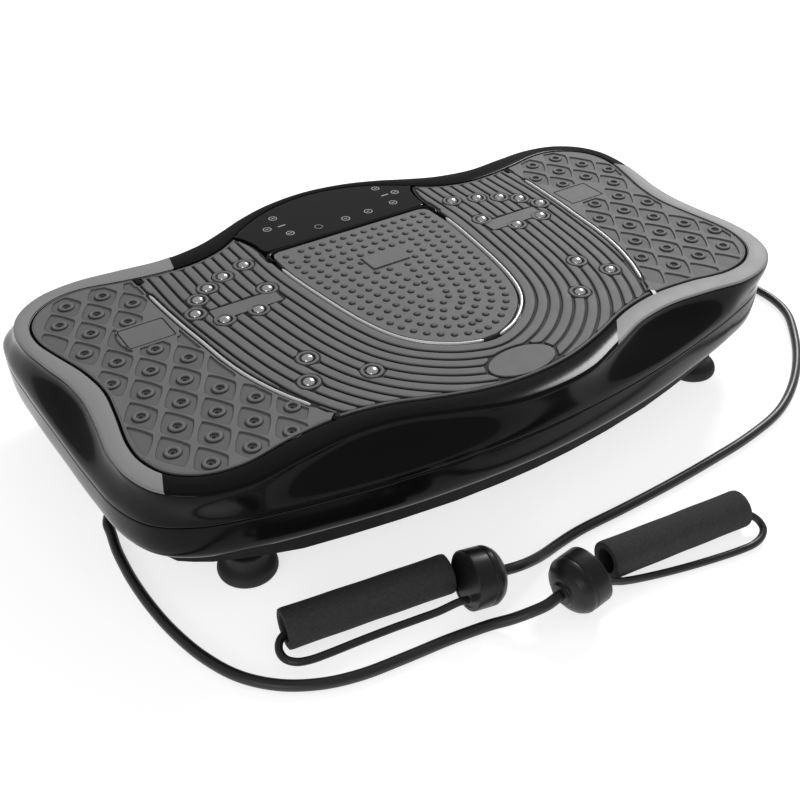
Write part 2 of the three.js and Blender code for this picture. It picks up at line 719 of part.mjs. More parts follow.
// The stretch of a ring between two directions from the origin, in degrees.
function stretch(outline, startDeg, endDeg) {
  const n = outline.length;
  const start = THREE.MathUtils.degToRad(startDeg);
  const span = THREE.MathUtils.degToRad(endDeg - startDeg);
  const turn = (i) => THREE.MathUtils.euclideanModulo(DIRECTIONS[i] - start, 2 * Math.PI);
  const inside = DIRECTIONS.map((_, i) => i).filter((i) => turn(i) < span).sort((a, b) => turn(a) - turn(b));
  const [first, last] = [inside[0], inside.at(-1)];
  const [before, after] = [(first + n - 1) % n, (last + 1) % n];
  const lead = 2 * Math.PI - turn(before);
  const startPoint = outline[before].clone().lerp(outline[first], lead / (lead + turn(first)));
  const endShare = (span - turn(last)) / (turn(after) - turn(last));
  return [startPoint, ...inside.map((i) => outline[i]), outline[last].clone().lerp(outline[after], endShare)];
}

// A silver plate on the rim's flat top, or with a margin the pocket it lies in.
function bandSlab(side, margin, low, high) {
  const { outer, inner } = side > 0 ? BAND_DEGREES.right : BAND_DEGREES.left;
  const longer = margin; // in degrees here: it gives the pocket about a millimetre more at each end
  const outerLine = stretch(inset(RIM, 3.6 - margin), outer[0] - longer, outer[1] + longer);
  const innerLine = stretch(inset(RECESS, -1.8 + margin), inner[0] - longer, inner[1] + longer);
  return slab([...outerLine, ...innerLine.reverse()], low, high);
}

function bandPockets() {
  return [1, -1].map((side) => bandSlab(side, GAP, RIM_TOP - BAND_SINK, RIM_TOP + 1));
}

function lowerSkirt() {
  const low = SKIRT_BOTTOM;
  return hoop([
    ring(SEAM, 12.5, low),
    ring(SEAM, 8.5, low + 0.4),
    ring(SEAM, 4, low + 4.2),
    ring(SEAM, 1, low + 13),
    ring(SEAM, 0, SEAM_Z - 0.2),
    ring(SEAM, WALL_T + 0.5, SEAM_Z - 0.2),
    ring(SEAM, WALL_T + 0.5, SEAM_Z + 3),
    ring(SEAM, WALL_T + 2.2, SEAM_Z + 3),
    ring(SEAM, 4, low + 14),
    ring(SEAM, 7, low + 6.5),
    ring(SEAM, 12.5, low + 2.6),
  ]);
}

// The region the control panel takes at the far side of the recess.
function panelRegion(margin) {
  return [
    [-PANEL_HALF_NEAR - margin, PANEL_NEAR_Y - margin],
    [PANEL_HALF_NEAR + margin, PANEL_NEAR_Y - margin],
    [PANEL_HALF_NEAR + 2 + margin, 125],
    [PANEL_HALF_FAR - 4 + margin, 141],
    [PANEL_HALF_FAR + 2 + margin, PANEL_SHOULDER_Y + 2],
    [PANEL_HALF_FAR + 6, 210],
    [-PANEL_HALF_FAR - 6, 210],
    [-PANEL_HALF_FAR - 2 - margin, PANEL_SHOULDER_Y + 2],
    [-PANEL_HALF_FAR + 4 - margin, 141],
    [-PANEL_HALF_NEAR - 2 - margin, 125],
  ].map(([x, y]) => new THREE.Vector2(x, y));
}

function padOutline(distance) {
  const side = smoothLine(ARC_HALF, 14).map((p) => new THREE.Vector2(p.x, p.y));
  const inner = side.map((p, i) => {
    const before = side[Math.max(i - 1, 0)];
    const after = side[Math.min(i + 1, side.length - 1)];
    const along = after.clone().sub(before).normalize();
    return new THREE.Vector2(p.x + along.y * distance, p.y - along.x * distance);
  });
  const right = [new THREE.Vector2(inner[0].x, PAD_TOP_Y), ...inner];
  const left = right.map((p) => new THREE.Vector2(-p.x, p.y)).reverse();
  return [...right, ...left].reverse();
}

function footMat() {
  const sheet = slab(flat(inset(RECESS, 1.8)), MAT_BOTTOM, RIM_TOP);
  const panel = slab(panelRegion(1.2), MAT_BOTTOM - 1, RIM_TOP + 1);
  const bridgeCut = slab(
    [[-92, 90], [92, 90], [92, 120], [-92, 120]].map(([x, y]) => new THREE.Vector2(x, y)),
    MAT_BOTTOM - 1,
    RIM_TOP + 1,
  );
  const middle = slab(padOutline(2.6), MAT_BOTTOM - 1, RIM_TOP + 1);
  const magnetHoles = MAGNETS.flatMap(([x, y]) =>
    [1, -1].map((side) => bar([side * x, y, MAT_BOTTOM - 1], [side * x, y, RIM_TOP + 1], MAGNET_HOLE_R, 7)),
  );
  return cut(sheet, [panel, bridgeCut, middle, ...rimTabs(0.8), ...trimSlots(), ...magnetHoles]);
}

// A strip of even width along a centre line, between two heights.
function ribbon(half, side, width, low, high, steps) {
  const line = smoothLine(half, steps).map((p) => new THREE.Vector2(side * p.x, p.y));
  const edge = (shift) =>
    line.map((p, i) => {
      const along = line[Math.min(i + 1, steps)].clone().sub(line[Math.max(i - 1, 0)]).normalize();
      return new THREE.Vector2(p.x - along.y * shift, p.y + along.x * shift);
    });
  return slab([...edge(width / 2), ...edge(-width / 2).reverse()], low, high);
}

function trimSlots() {
  return [1, -1].flatMap((side) => [
    ribbon(LINE_HALF, side, STRIP_W + 2 * GAP, STRIP_BOTTOM - GAP, RIM_TOP + 1, 12),
    ribbon(ARC_HALF, side, STRIP_W + 2 * GAP, STRIP_BOTTOM - GAP, RIM_TOP + 1, 14),
  ]);
}

function magnetSet(side) {
  const [low, high] = [DECK_TOP + GAP, MAT_BOTTOM - GAP];
  const sheet = slab(
    [[98, 108], [98, -114], [118, -116], [166, -100], [166, -60], [196, 20], [196, 60], [176, 86], [140, 104]]
      .map(([x, y]) => new THREE.Vector2(side * x, y)),
    low,
    high,
  );
  const studs = MAGNETS.map(([x, y]) => {
    const rise = MAGNET_TOP - high;
    const profile = [[0, -0.5], [MAGNET_R, -0.5], [MAGNET_R, rise - 2.2], [0.6 * MAGNET_R, rise], [0, rise]];
    return turned(profile, [side * x, y, high], [0, 0, 1], 8);
  });
  return union([sheet, ...studs]);
}

function panelBezel() {
  const recessFloor = slab(flat(inset(RECESS, 1)), MAT_BOTTOM, RIM_TOP - LENS_T - 2 * GAP);
  const region = slab(panelRegion(0), MAT_BOTTOM - 1, RIM_TOP + 1);
  const window = box([-66, 120, MAT_BOTTOM - 1], [66, 161, MAT_BOTTOM + 2.4]);
  return cut(recessFloor.intersect(region), [window]);
}

function panelLens() {
  const sheet = slab(flat(inset(RECESS, 1)), RIM_TOP - LENS_T - GAP, RIM_TOP);
  const region = slab(panelRegion(0), MAT_BOTTOM - 1, RIM_TOP + 1);
  return sheet.intersect(region);
}

function displayBoard() {
  const sheet = box([-64, 122, DECK_TOP - 1.5], [64, 159, DECK_TOP + 0.1]);
  const digits = box([-24, 134, DECK_TOP], [24, 152, MAT_BOTTOM + 1.8]);
  return union([sheet, digits]);
}

// ---- Pull bands --------------------------------------------------------------------------

function cord(route, radius, sides, step) {
  const path = new THREE.CatmullRomCurve3(route, false, "centripetal");
  const section = new THREE.Shape(circle(0, 0, radius, sides));
  const steps = Math.round(path.getLength() / step);
  return solid(new THREE.ExtrudeGeometry(section, { steps, extrudePath: path, bevelEnabled: false }));
}

function grip([far, near]) {
  const length = Math.hypot(near[0] - far[0], near[1] - far[1]);
  const axis = [(near[0] - far[0]) / length, (near[1] - far[1]) / length, 0];
  const profile = [
    [GRIP_BORE_R, 0], [GRIP_R - 1.5, 0], [GRIP_R, 1.5], [GRIP_R, length - 1.5], [GRIP_R - 1.5, length],
    [GRIP_BORE_R, length], [GRIP_BORE_R, 0],
  ];
  return turned(profile, [far[0], far[1], GRIP_R + GAP], axis, 20);
}

// A bell's frame: its axis from the flat face to the dome, its left, its up and the face's middle.
function bellFrame({ bell: [x, y], bellDeg }) {
  const angle = THREE.MathUtils.degToRad(bellDeg);
  const heading = new THREE.Vector3(Math.cos(angle), Math.sin(angle), 0);
  const left = new THREE.Vector3(-Math.sin(angle), Math.cos(angle), 0);
  const axis = heading.clone().multiplyScalar(Math.cos(BELL_TILT));
  axis.z = -Math.sin(BELL_TILT);
  const height = BELL_R * Math.cos(BELL_TILT) + BELL_SHOULDER * Math.sin(BELL_TILT) + GAP;
  return { axis, left, up: axis.clone().cross(left), middle: new THREE.Vector3(x, y, height) };
}

function bellPoint(handle, along, aside, rise) {
  const { axis, left, up, middle } = bellFrame(handle);
  const point = middle.clone().addScaledVector(axis, along);
  return point.addScaledVector(left, aside * handle.gripSide).addScaledVector(up, rise);
}

// The bell that gathers the loop's two strands: flat at the grip, domed at the band.
function bell(handle) {
  const { axis, middle } = bellFrame(handle);
  const profile = [
    [0, 0], [BELL_R - 1, 0], [BELL_R, 1], [BELL_R, BELL_SHOULDER], [BELL_R - 3.5, 24.5], [13, 28],
    [9.5, 28.5], [9.5, BELL_LENGTH], [0, BELL_LENGTH],
  ];
  return turned(profile, middle.toArray(), axis.toArray(), 22);
}

const vectors = (points) => points.map((p) => new THREE.Vector3(...p));

// A band runs from its hook's barrel to the middle of the bell's dome.
function bandRoute(name) {
  const handle = HANDLES[name];
  const hookEnd = [HOOK_END + CORD_GAP, HOOK_END + 12].map((along) =>
    hookPoint(handle, along, along > HOOK_END + 1 ? EYE_Z - 1.5 : EYE_Z),
  );
  const bellEnd = [BELL_LENGTH + 13, BELL_LENGTH + CORD_GAP].map((along) => bellPoint(handle, along, 0, 0));
  return [...hookEnd, ...vectors(BAND_ROUTES[name]), ...bellEnd];
}

// A loop leaves the bell's flat face, runs through the grip and comes back round it.
function loopRoute(name) {
  const handle = HANDLES[name];
  const out = [-CORD_GAP, -7].map((along) => bellPoint(handle, along, handle.strandAside, -9));
  const back = [-9, -CORD_GAP].map((along) => bellPoint(handle, along, -9, -10));
  return [...out, ...vectors(LOOP_ROUTES[name]), ...back];
}

// The staple under the tray that a hook clips on to: its bar lies across the hook.
function bandEye({ eyeX: x, hookDeg }) {
  const y = EYE_Y;
  const angle = THREE.MathUtils.degToRad(hookDeg + 90);
  const across = new THREE.Vector3(Math.cos(angle), Math.sin(angle), 0);
  const spot = (shift, z) => new THREE.Vector3(x, y, z).addScaledVector(across, shift).toArray();
  const top = FOOT_H - GAP;
  const legs = [-11, 11].map((shift) => bar(spot(shift, EYE_Z - 2.4), spot(shift, top - 0.5), 2.5, 8));
  const rung = bar(spot(-13, EYE_Z), spot(13, EYE_Z), 2.5, 8);
  const sole = new THREE.Matrix4().makeTranslation(x, y, top - 0.6)
    .multiply(new THREE.Matrix4().makeRotationZ(angle));
  return union([...legs, rung, solid(new THREE.BoxGeometry(36, 14, 1.2), sole)]);
}

// Places a point given along the hook from the middle of its bend, and above the floor.
function hookPoint({ eyeX, hookDeg }, along, z) {
  const angle = THREE.MathUtils.degToRad(hookDeg);
  const reach = along + HOOK_SLACK;
  return new THREE.Vector3(eyeX + reach * Math.cos(angle), EYE_Y + reach * Math.sin(angle), z);
}

function bandHook(handle) {
  const spot = (along, z) => hookPoint(handle, along, z);
  const bend = (centre, from, to) =>
    Array.from({ length: 7 }, (_, i) => {
      const angle = THREE.MathUtils.degToRad(from + ((to - from) * i) / 6);
      return spot(centre + HOOK_BEND_R * Math.cos(angle), EYE_Z + HOOK_BEND_R * Math.sin(angle));
    });
  const route = [...bend(HOOK_REACH, 84, -90), ...bend(0, 270, 96)];
  const path = new THREE.CatmullRomCurve3(route, false, "centripetal");
  const section = new THREE.Shape(circle(0, 0, HOOK_WIRE_R, 6));
  const wire = solid(new THREE.ExtrudeGeometry(section, { steps: 20, extrudePath: path, bevelEnabled: false }));
  const barrel = bar(
    spot(HOOK_REACH + HOOK_BEND_R - 1, EYE_Z).toArray(),
    spot(HOOK_END, EYE_Z).toArray(),
    5.6,
    10,
  );
  return union([wire, barrel]);
}

function hookGate(handle) {
  const z = EYE_Z + HOOK_BEND_R;
  const from = hookPoint(handle, 1.6, z).toArray();
  const to = hookPoint(handle, HOOK_REACH - 2, z).toArray();
  return bar(from, to, 1.8, 8);
}

// ---- Assembly ----------------------------------------------------------------------------

const base = subgroup();
addTo(base, "base_tray", baseTray(), LOOK.matteBlack);
Object.entries(FOOT_SPOTS).forEach(([place, spot]) => addTo(base, "foot_" + place, foot(spot), LOOK.rubber));
Object.entries(STOP_SPOTS).forEach(([place, spot]) =>
  addTo(base, "bump_stop_" + place, bumpStop(spot), LOOK.rubber),
);
addTo(base, "pivot_block_front", bearingBlock(0, PIVOT_Z, -95, 17, AXLE_R + 0.5, 95), LOOK.zinc);
addTo(base, "pivot_block_rear", bearingBlock(0, PIVOT_Z, 95, 17, AXLE_R + 0.5, 95), LOOK.zinc);
addTo(base, "shaft_block_front", bearingBlock(CRANK.x, CRANK.z, -78, 16, CRANK_R + 0.5, 74), LOOK.zinc);
addTo(base, "shaft_block_rear", bearingBlock(CRANK.x, CRANK.z, 78, 16, CRANK_R + 0.5, 74), LOOK.zinc);
addTo(base, "motor", motorBody(), LOOK.steel);
addTo(base, "motor_bracket", motorBracket(), LOOK.zinc);
addTo(base, "drive_belt", driveBelt(), LOOK.rubber);
addTo(base, "control_board", controlBoard(), LOOK.board);
addTo(base, "power_inlet", powerInlet(), LOOK.matteBlack);
addTo(base, "switch_housing", switchHousing(), LOOK.matteBlack);

const turning = subgroup();
addTo(turning, "power_rocker", rockerKey(), LOOK.matteBlack);
addTo(turning, "motor_pulley", motorPulley(), LOOK.steel);
addTo(turning, "driven_pulley", drivenPulley(), LOOK.steel);
addTo(turning, "eccentric_shaft", eccentricShaft(), LOOK.steel);
addTo(turning, "drive_link_front", driveLink(-1), LOOK.zinc);
addTo(turning, "drive_link_rear", driveLink(1), LOOK.zinc);

const deck = subgroup();
addTo(deck, "deck_plate", deckPlate(), LOOK.steel);
addTo(deck, "pivot_axle", bar([0, -112, PIVOT_Z], [0, 112, PIVOT_Z], AXLE_R, 16), LOOK.steel);
addTo(deck, "link_pin", bar([CRANK.x, -124, PIN_Z], [CRANK.x, 124, PIN_Z], PIN_R, 12), LOOK.steel);
addTo(deck, "top_cover", topCover(), LOOK.gloss);
addTo(deck, "lower_skirt", lowerSkirt(), LOOK.gloss);
addTo(deck, "foot_mat", footMat(), LOOK.matRubber);
addTo(deck, "middle_pad", slab(padOutline(3.4), MAT_BOTTOM, RIM_TOP), LOOK.matRubber);
addTo(deck, "panel_bezel", panelBezel(), LOOK.gloss);
addTo(deck, "panel_lens", panelLens(), LOOK.glass);
addTo(deck, "display_board", displayBoard(), LOOK.board);
[["left", -1], ["right", 1]].forEach(([name, side]) => {
  addTo(deck, "rim_band_" + name, bandSlab(side, 0, RIM_TOP - BAND_T, RIM_TOP), LOOK.silver);
  addTo(deck, "side_trim_" + name, ribbon(LINE_HALF, side, STRIP_W, STRIP_BOTTOM, STRIP_TOP, 12), LOOK.chrome);
  addTo(deck, "arc_trim_" + name, ribbon(ARC_HALF, side, STRIP_W, STRIP_BOTTOM, STRIP_TOP, 14), LOOK.chrome);
  addTo(deck, "magnet_set_" + name, magnetSet(side), LOOK.chrome);
});

const handles = subgroup();
Object.entries(HANDLES).forEach(([name, handle]) => {
  addTo(handles, "grip_" + name, grip(handle.grip), LOOK.foam);
  addTo(handles, "bell_" + name, bell(handle), LOOK.gloss);
  addTo(handles, "loop_" + name, cord(loopRoute(name), LOOP_R, 8, 13), LOOK.band);
  addTo(handles, "band_" + name, cord(bandRoute(name), BAND_R, 8, 22), LOOK.band);
  addTo(base, "band_eye_" + name, bandEye(handle), LOOK.steel);
  addTo(handles, "hook_" + name, bandHook(handle), LOOK.zinc);
  addTo(handles, "hook_gate_" + name, hookGate(handle), LOOK.zinc);
});

export default plate;
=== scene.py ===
"""Looks of the vibration plate: a rocking platform with a patterned rubber mat in a glossy black
shell, silver plates in its rim, a dark touch panel, and two pull bands on the floor in front.

Sizes and points are in millimetres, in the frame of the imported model, and become metres where
a mesh or a curve is made.
"""
import math

import bpy
import numpy as np
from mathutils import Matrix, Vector
from numpy.linalg import norm


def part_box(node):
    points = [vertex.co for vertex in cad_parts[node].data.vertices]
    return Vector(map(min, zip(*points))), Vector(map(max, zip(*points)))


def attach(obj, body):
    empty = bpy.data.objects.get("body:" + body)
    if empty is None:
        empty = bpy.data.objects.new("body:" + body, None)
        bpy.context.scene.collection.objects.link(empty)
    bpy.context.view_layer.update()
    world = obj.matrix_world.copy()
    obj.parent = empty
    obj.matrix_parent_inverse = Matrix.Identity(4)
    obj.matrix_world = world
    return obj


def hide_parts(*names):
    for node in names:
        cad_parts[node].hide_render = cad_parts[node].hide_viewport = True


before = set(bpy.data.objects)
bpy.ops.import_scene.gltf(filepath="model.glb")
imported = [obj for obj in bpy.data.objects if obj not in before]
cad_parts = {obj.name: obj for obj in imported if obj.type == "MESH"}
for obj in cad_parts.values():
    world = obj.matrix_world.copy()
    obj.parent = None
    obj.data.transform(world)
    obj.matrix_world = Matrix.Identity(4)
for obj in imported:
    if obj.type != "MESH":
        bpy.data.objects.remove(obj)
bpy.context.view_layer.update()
scene = bpy.context.scene

MM = 0.001


# ---- Driving dimensions ----

RING = 320  # points round the lofted shells
BEND_WEIGHT = 190.0  # length that one radian of bend counts for when the points are spread

SKIRT_BOTTOM = 50.0
SEAM_Z = 85.6
SEAM_GAP = 0.25
WALL_TOP = 117.4
RIM_TOP = 120.6
RIM_T = 3.2
LEDGE_TOP = 111.9
LEDGE_T = 2.9
LEDGE_WIDTH = 12.0
MAT_BOTTOM = 112.2
WALL_T = 2.6
SKIRT_FOOT = 12.5  # how far the skirt's lower edge turns in
WALL_BLEND = (0.02, 0.86)  # where the side wall leaves the rim's outline and joins the seam's
RIM_ROUND = 3.0

BED_TOP = 119.3  # the floor of the grooves in the mat
CELL_FLOOR = 119.4  # the floor of the diamonds in the end zones
MAT_TOP = 120.8
RIB_HEIGHT = MAT_TOP - BED_TOP
LINE_STEP = 1.6  # between the points of the ribs' and the border's lines
GROOVE_W = 2.1
RIB_PITCH = 10.6
FIRST_GROOVE = 12.6  # from the middle pad's edge line
RIB_COUNT = 16
BORDER_W = 2.6  # the plain lip round the mat
TRIM_GAP = 3.3  # from a trim's middle line to the mat
NO_TRIM_GAP = 0.9  # the same where the trim has ended
PLATE_PROUD = 0.3  # how far the silver plates stand above the rim

RIM_HALF = [
    (0, -202.5), (40, -198.5), (80, -184), (120, -169), (160, -163.5), (205, -167), (245, -171.5),
    (280, -163), (303, -144), (314, -118), (316, -90), (311.5, -52), (309, -18), (312, 12),
    (319, 42), (325, 78), (323, 108), (311, 131), (288, 148), (255, 155), (215, 152.5),
    (175, 149), (135, 156), (105, 169), (80, 181.5), (45, 194), (0, 200),
]
RECESS_HALF = [
    (0, -180.7), (40, -177), (80, -165.5), (120, -150.5), (160, -143.8), (200, -146), (240, -152.5),
    (270, -147), (291, -130.5), (300.5, -107), (301.5, -85), (295.5, -45), (292.5, -15),
    (297, 18), (306, 48), (313.5, 78), (311.5, 103), (299, 123), (278, 136), (255, 139),
    (222, 132.5), (190, 127.5), (155, 127), (125, 135.5), (105, 148), (85, 163), (60, 177.5),
    (30, 187.5), (0, 191),
]
SEAM_HALF = [
    (0, -203.8), (60, -201.3), (120, -194.8), (180, -184.2), (240, -170.5), (285, -155),
    (310, -135), (323, -105), (328, -60), (331, 0), (333.5, 60), (333.5, 110), (327, 142),
    (308, 161), (270, 169.5), (210, 180), (140, 192.5), (70, 200.8), (0, 203.5),
]
ARC_HALF = [
    (90.5, 72), (89, 50), (86.5, 28), (83.5, 5), (79.5, -22), (74, -48), (66, -72),
    (56, -88.5), (42.5, -102), (27, -112.5), (8.5, -119.5),
]
LINE_HALF = [
    (208.3, 95), (206.5, 65), (204, 35), (200.5, 5), (197, -28), (192, -55), (186, -76),
    (178.5, -96), (168.5, -117),
]
MAGNETS = [
    (116.3, 97.9), (141.2, 89.4), (161.3, 78.4), (176.5, 65), (187.3, 45.7), (170.4, 24.5),
    (139.5, 22.7), (117.5, 49.7), (140.7, -62.9), (155.3, -91.4), (107, -105.7),
]
MAGNET_R = 5.2
MAGNET_DOME = (119.6, 3.8)  # where the dome starts, and its rise
CARRIER_Z = (110.3, 111.9)
MAGNET_CARRIER = [
    (98, 108), (98, -114), (118, -116), (166, -100), (166, -60), (196, 20), (196, 60), (176, 86),
    (140, 104),
]
TAB_SPOTS = [(207.5, 134, -91), (157.5, -148, 66)]  # the rim tabs' roots and headings
TAB_R = 2.2
TAB_REACH = 12.8  # from the root to the middle of the round tip
TAB_FROM, TAB_TO, TAB_SIDE = -6.0, 15.5, 3.0  # what a tab takes up along and to each side of it
BAND_DEGREES = {
    "left": {"outer": (137.7, 206.4), "inner": (144, 203.7)},
    "right": {"outer": (-66.7, 10.6), "inner": (-56.7, 13.4)},
}
RIB_PLATE = (114, 26, 176, 44)  # blank label plates: x from, y from, x to, y to
END_PLATE = (214, 27, 253, 55.5)
PAD_PLATE = (-21, 27, 18, 50)
LABEL_CORNER = 2.0
EYE_PITCH = 32.0  # between neighbouring diamonds in a row
EYE_ROWS = {  # first diamond's place, the step to the next row, and how much nearer the middle it is
    -1: {"start": (242.5, 117.5), "step": 25.4, "drift": -1.55},
    1: {"start": (238.0, 119.5), "step": 26.2, "drift": -1.35},
}
MAT_GAP = 2.8  # from the recess wall to the mat
DIAMOND = (13.2, 20.0)
DIAMOND_BULGE = 1.2  # 1 would give straight sides and 2 an ellipse
WASHER_R = 8.1
EYE_R = 4.9
DOT_PITCH = (11.4, 12.4)  # along a row of dots, and from row to row
DOT_MARGIN = 10.0
DOT_NEAREST = 7.6
DOT_SEGMENTS = 12
OVAL = {"middle": (0, -158.5), "radii": (31, 17)}

# Control panel
PANEL_SIDE = [(88, 107.5), (90, 112), (91, 125), (95.5, 141), (101.5, 150.5)]
PANEL_EDGE = ([84, 88, 106, 112, 125, 141, 150.5], [0, 93, 93, 92, 93, 97.5, 104])  # y, and x there
LENS_BOTTOM = 117.9
PANEL_KEYS = [(-52, 163), (-67, 146), (-52, 127.5), (67, 164), (79, 146), (65, 127.5)]

# Handles, as the CAD model has them.
BAND_R = 4.25
LOOP_R = 3.0
GRIP_R = 15.5
GRIP_BORE_R = 10.0
BELL_R = 23.0
BELL_TILT = math.radians(6)
BELL_LENGTH = 31.5
BELL_SHOULDER = 17.0
CORD_GAP = 0.5
LIFT = 0.3  # of the grips and connectors off the floor
EYE_Y = 15.0
EYE_Z = 12.0
HOOK_WIRE_R = 2.0
HOOK_BEND_R = 7.0
HOOK_REACH = 24.0
HOOK_END = 44.0
HOOK_SLACK = 2.1
GATE_R = 1.8
HANDLES = {
    "left": {
        "grip": ((-252, -213.3), (-122, -233.8)), "bell": (-121.8, -254.1), "bell_deg": -8.2,
        "grip_side": 1, "strand_aside": 15.5, "eye_x": 286.0, "hook_deg": -8.0,
    },
    "right": {
        "grip": ((115.7, -305.7), (-15.3, -289.7)), "bell": (-39.5, -298.7), "bell_deg": 184.3,
        "grip_side": -1, "strand_aside": 11, "eye_x": -286.0, "hook_deg": 240.0,
    },
}
BAND_ROUTES = {
    "left": [
        (356, 4, 6.5), (372, -3.5, 4.6), (388, -17, 4.5), (400, -36, 4.5), (407, -60, 4.5),
        (408.5, -82, 4.5), (405, -102, 4.5), (396, -122, 4.5), (380, -142, 4.5), (344, -177.3, 4.5),
        (300, -208.5, 4.5), (255.2, -229.1, 4.5), (204, -239, 4.5), (157.5, -242.9, 4.5),
        (100, -245.5, 4.5), (43, -246, 4.5), (5, -245.5, 4.5), (-10, -246.2, 4.5), (-26, -248.6, 5.5),
        (-44, -253.2, 9), (-61, -257.8, 14.8),
    ],
    "right": [
        (-316, -44, 7), (-318.5, -60, 4.8), (-320, -80, 4.5), (-320.5, -100, 4.5),
        (-319.2, -129.3, 4.5), (-315, -162, 4.5), (-306, -196.8, 4.5), (-292.5, -225, 4.5),
        (-272.9, -246.4, 4.5), (-249, -261, 4.5), (-222.6, -269.6, 4.5), (-188, -274.5, 4.5),
        (-155, -278, 4.5), (-136, -281, 4.6), (-120, -285, 6), (-107, -291.8, 10.2), (-95.5, -298, 16),
    ],
}
LOOP_ROUTES = {
    "left": [
        (-142, -233.6, 15.9), (-165, -228, 15.8), (-195, -222.6, 15.7), (-224, -218, 15.5),
        (-239, -215.7, 14.9), (-250.5, -215.6, 13.8), (-257.4, -218.4, 12.4), (-261.4, -224.8, 10.8),
        (-261, -232.6, 9.8), (-255.6, -239, 9.4), (-246.5, -242.6, 9.2), (-233, -244.8, 9.2),
        (-208, -247.5, 9.2), (-183, -250.8, 9.4), (-163.5, -254.2, 10), (-148, -258, 12),
    ],
    "right": [
        (-20, -288.2, 16.2), (-2, -290.4, 15.9), (20, -293.4, 15.8), (50, -297.5, 15.8),
        (84, -302, 15.7), (98, -304.2, 15.5), (107, -306.6, 14.8), (114.5, -309.8, 13.6),
        (120.2, -314, 12), (123.2, -319.8, 9.4), (122, -326.6, 6.8), (115.5, -331.2, 4.8),
        (105, -333, 3.8), (91, -331.5, 3.5), (70, -327.5, 3.5), (40, -320.5, 3.5), (8, -313, 5.6),
        (-13, -309.4, 10.2),
    ],
}


# ---- Camera, floor and light ----

CAMERA_AT = (-452.3, -667.2, 591.7)
CAMERA_AZIMUTH = -33.479
CAMERA_ELEVATION = 37.187
CAMERA_LENS = 46.71
WORLD_LIGHT = 0.42
FLOOR_GREY = 0.62
FLOOR_GLOW = 0.72
FLOOR_SIZE = 9.0
LIGHT_TARGET = (0, 0, 0.1)
SOFTBOXES = [  # name, place and size in metres, power in watts
    ("key_softbox", (2.0, 1.15, 1.75), (0.8, 0.8), 56),
    ("front_left_softbox", (-1.7, -1.3, 0.8), (0.9, 0.5), 6),
]


def new_object(name, data):
    thing = bpy.data.objects.new(name, data)
    scene.collection.objects.link(thing)
    return thing


def make_camera():
    data = bpy.data.cameras.new("camera")
    data.lens = CAMERA_LENS
    data.sensor_width = 36.0
    data.clip_end = 50.0
    camera = new_object("camera", data)
    camera.location = Vector(CAMERA_AT) * MM
    camera.rotation_euler = (math.radians(90 - CAMERA_ELEVATION), 0, math.radians(CAMERA_AZIMUTH))
    scene.camera = camera


def softbox(name, place, size, power):
    data = bpy.data.lights.new(name, "AREA")
    data.shape = "RECTANGLE"
    data.size, data.size_y = size
    data.energy = power
    light = new_object(name, data)
    light.location = place
    aim = Vector(LIGHT_TARGET) - Vector(place)
    light.rotation_euler = aim.to_track_quat("-Z", "Y").to_euler()


def make_studio():
    scene.view_settings.view_transform = "Standard"
    world = bpy.data.worlds.new("studio")
    scene.world = world
    world.use_nodes = True
    sky = {"Color": (1, 1, 1, 1), "Strength": WORLD_LIGHT}
    feed(world.node_tree, world.node_tree.nodes["Background"], sky)
    for box in SOFTBOXES:
        softbox(*box)
    bpy.ops.mesh.primitive_plane_add(size=FLOOR_SIZE)
    floor = bpy.context.object
    floor.name = "floor"
    floor.data.materials.append(studio_white())


# ---- Materials ----

BRUSHED = (60, 4, (1, 30, 1))


def grey(level):
    return (level, level, level)


def nodes_of(material):
    return material.node_tree, material.node_tree.nodes["Principled BSDF"]


def feed(tree, node, inputs):
    """Sets the node's inputs by name; one that gets another node's output is linked to it."""
    for name, value in inputs.items():
        if isinstance(value, bpy.types.NodeSocket):
            tree.links.new(value, node.inputs[name])
        else:
            node.inputs[name].default_value = value


def add_node(tree, kind, output, inputs, **settings):
    """Adds a shader node and returns its output of that name."""
    node = tree.nodes.new("ShaderNode" + kind)
    for name, value in settings.items():
        setattr(node, name, value)
    feed(tree, node, inputs)
    return node.outputs[output]


def noise(tree, scale, detail=3.0, stretch=(1, 1, 1)):
    """A noise texture in object space, whose scale is in features per metre."""
    place = add_node(tree, "TexCoord", "Object", {})
    place = add_node(tree, "Mapping", "Vector", {"Vector": place, "Scale": stretch})
    return add_node(tree, "TexNoise", "Fac", {"Vector": place, "Scale": scale, "Detail": detail})


def spread(tree, value, low, high):
    """Maps a 0 to 1 value on to low to high."""
    return add_node(tree, "MapRange", "Result", {"Value": value, "To Min": low, "To Max": high})


def bump(tree, height, strength, distance):
    inputs = {"Height": height, "Strength": strength, "Distance": distance * MM}
    return add_node(tree, "Bump", "Normal", inputs)


def mix(tree, share, low, high):
    inputs = {"Factor": share, "A": (*low, 1), "B": (*high, 1)}
    return add_node(tree, "Mix", "Result", inputs, data_type="RGBA")


def surface(name, colour, roughness, metallic=0.0, specular=0.5, tint=None, sheen=None, grain=None):
    """A material that noise varies. Each of the last three starts with what noise() takes.

    tint goes on with two colours, sheen with the lowest and highest roughness, and grain with the
    bump's strength and its height in millimetres.
    """
    material = bpy.data.materials.new(name)
    material.use_nodes = True
    tree, shader = nodes_of(material)
    feed(tree, shader, {"Base Color": (*colour, 1), "Roughness": roughness, "Metallic": metallic,
                        "Specular IOR Level": specular})
    plans = (("Base Color", mix, tint), ("Roughness", spread, sheen), ("Normal", bump, grain))
    for entry, change, plan in plans:
        if plan:
            pattern, *amounts = plan
            feed(tree, shader, {entry: change(tree, noise(tree, *pattern), *amounts)})
    return material


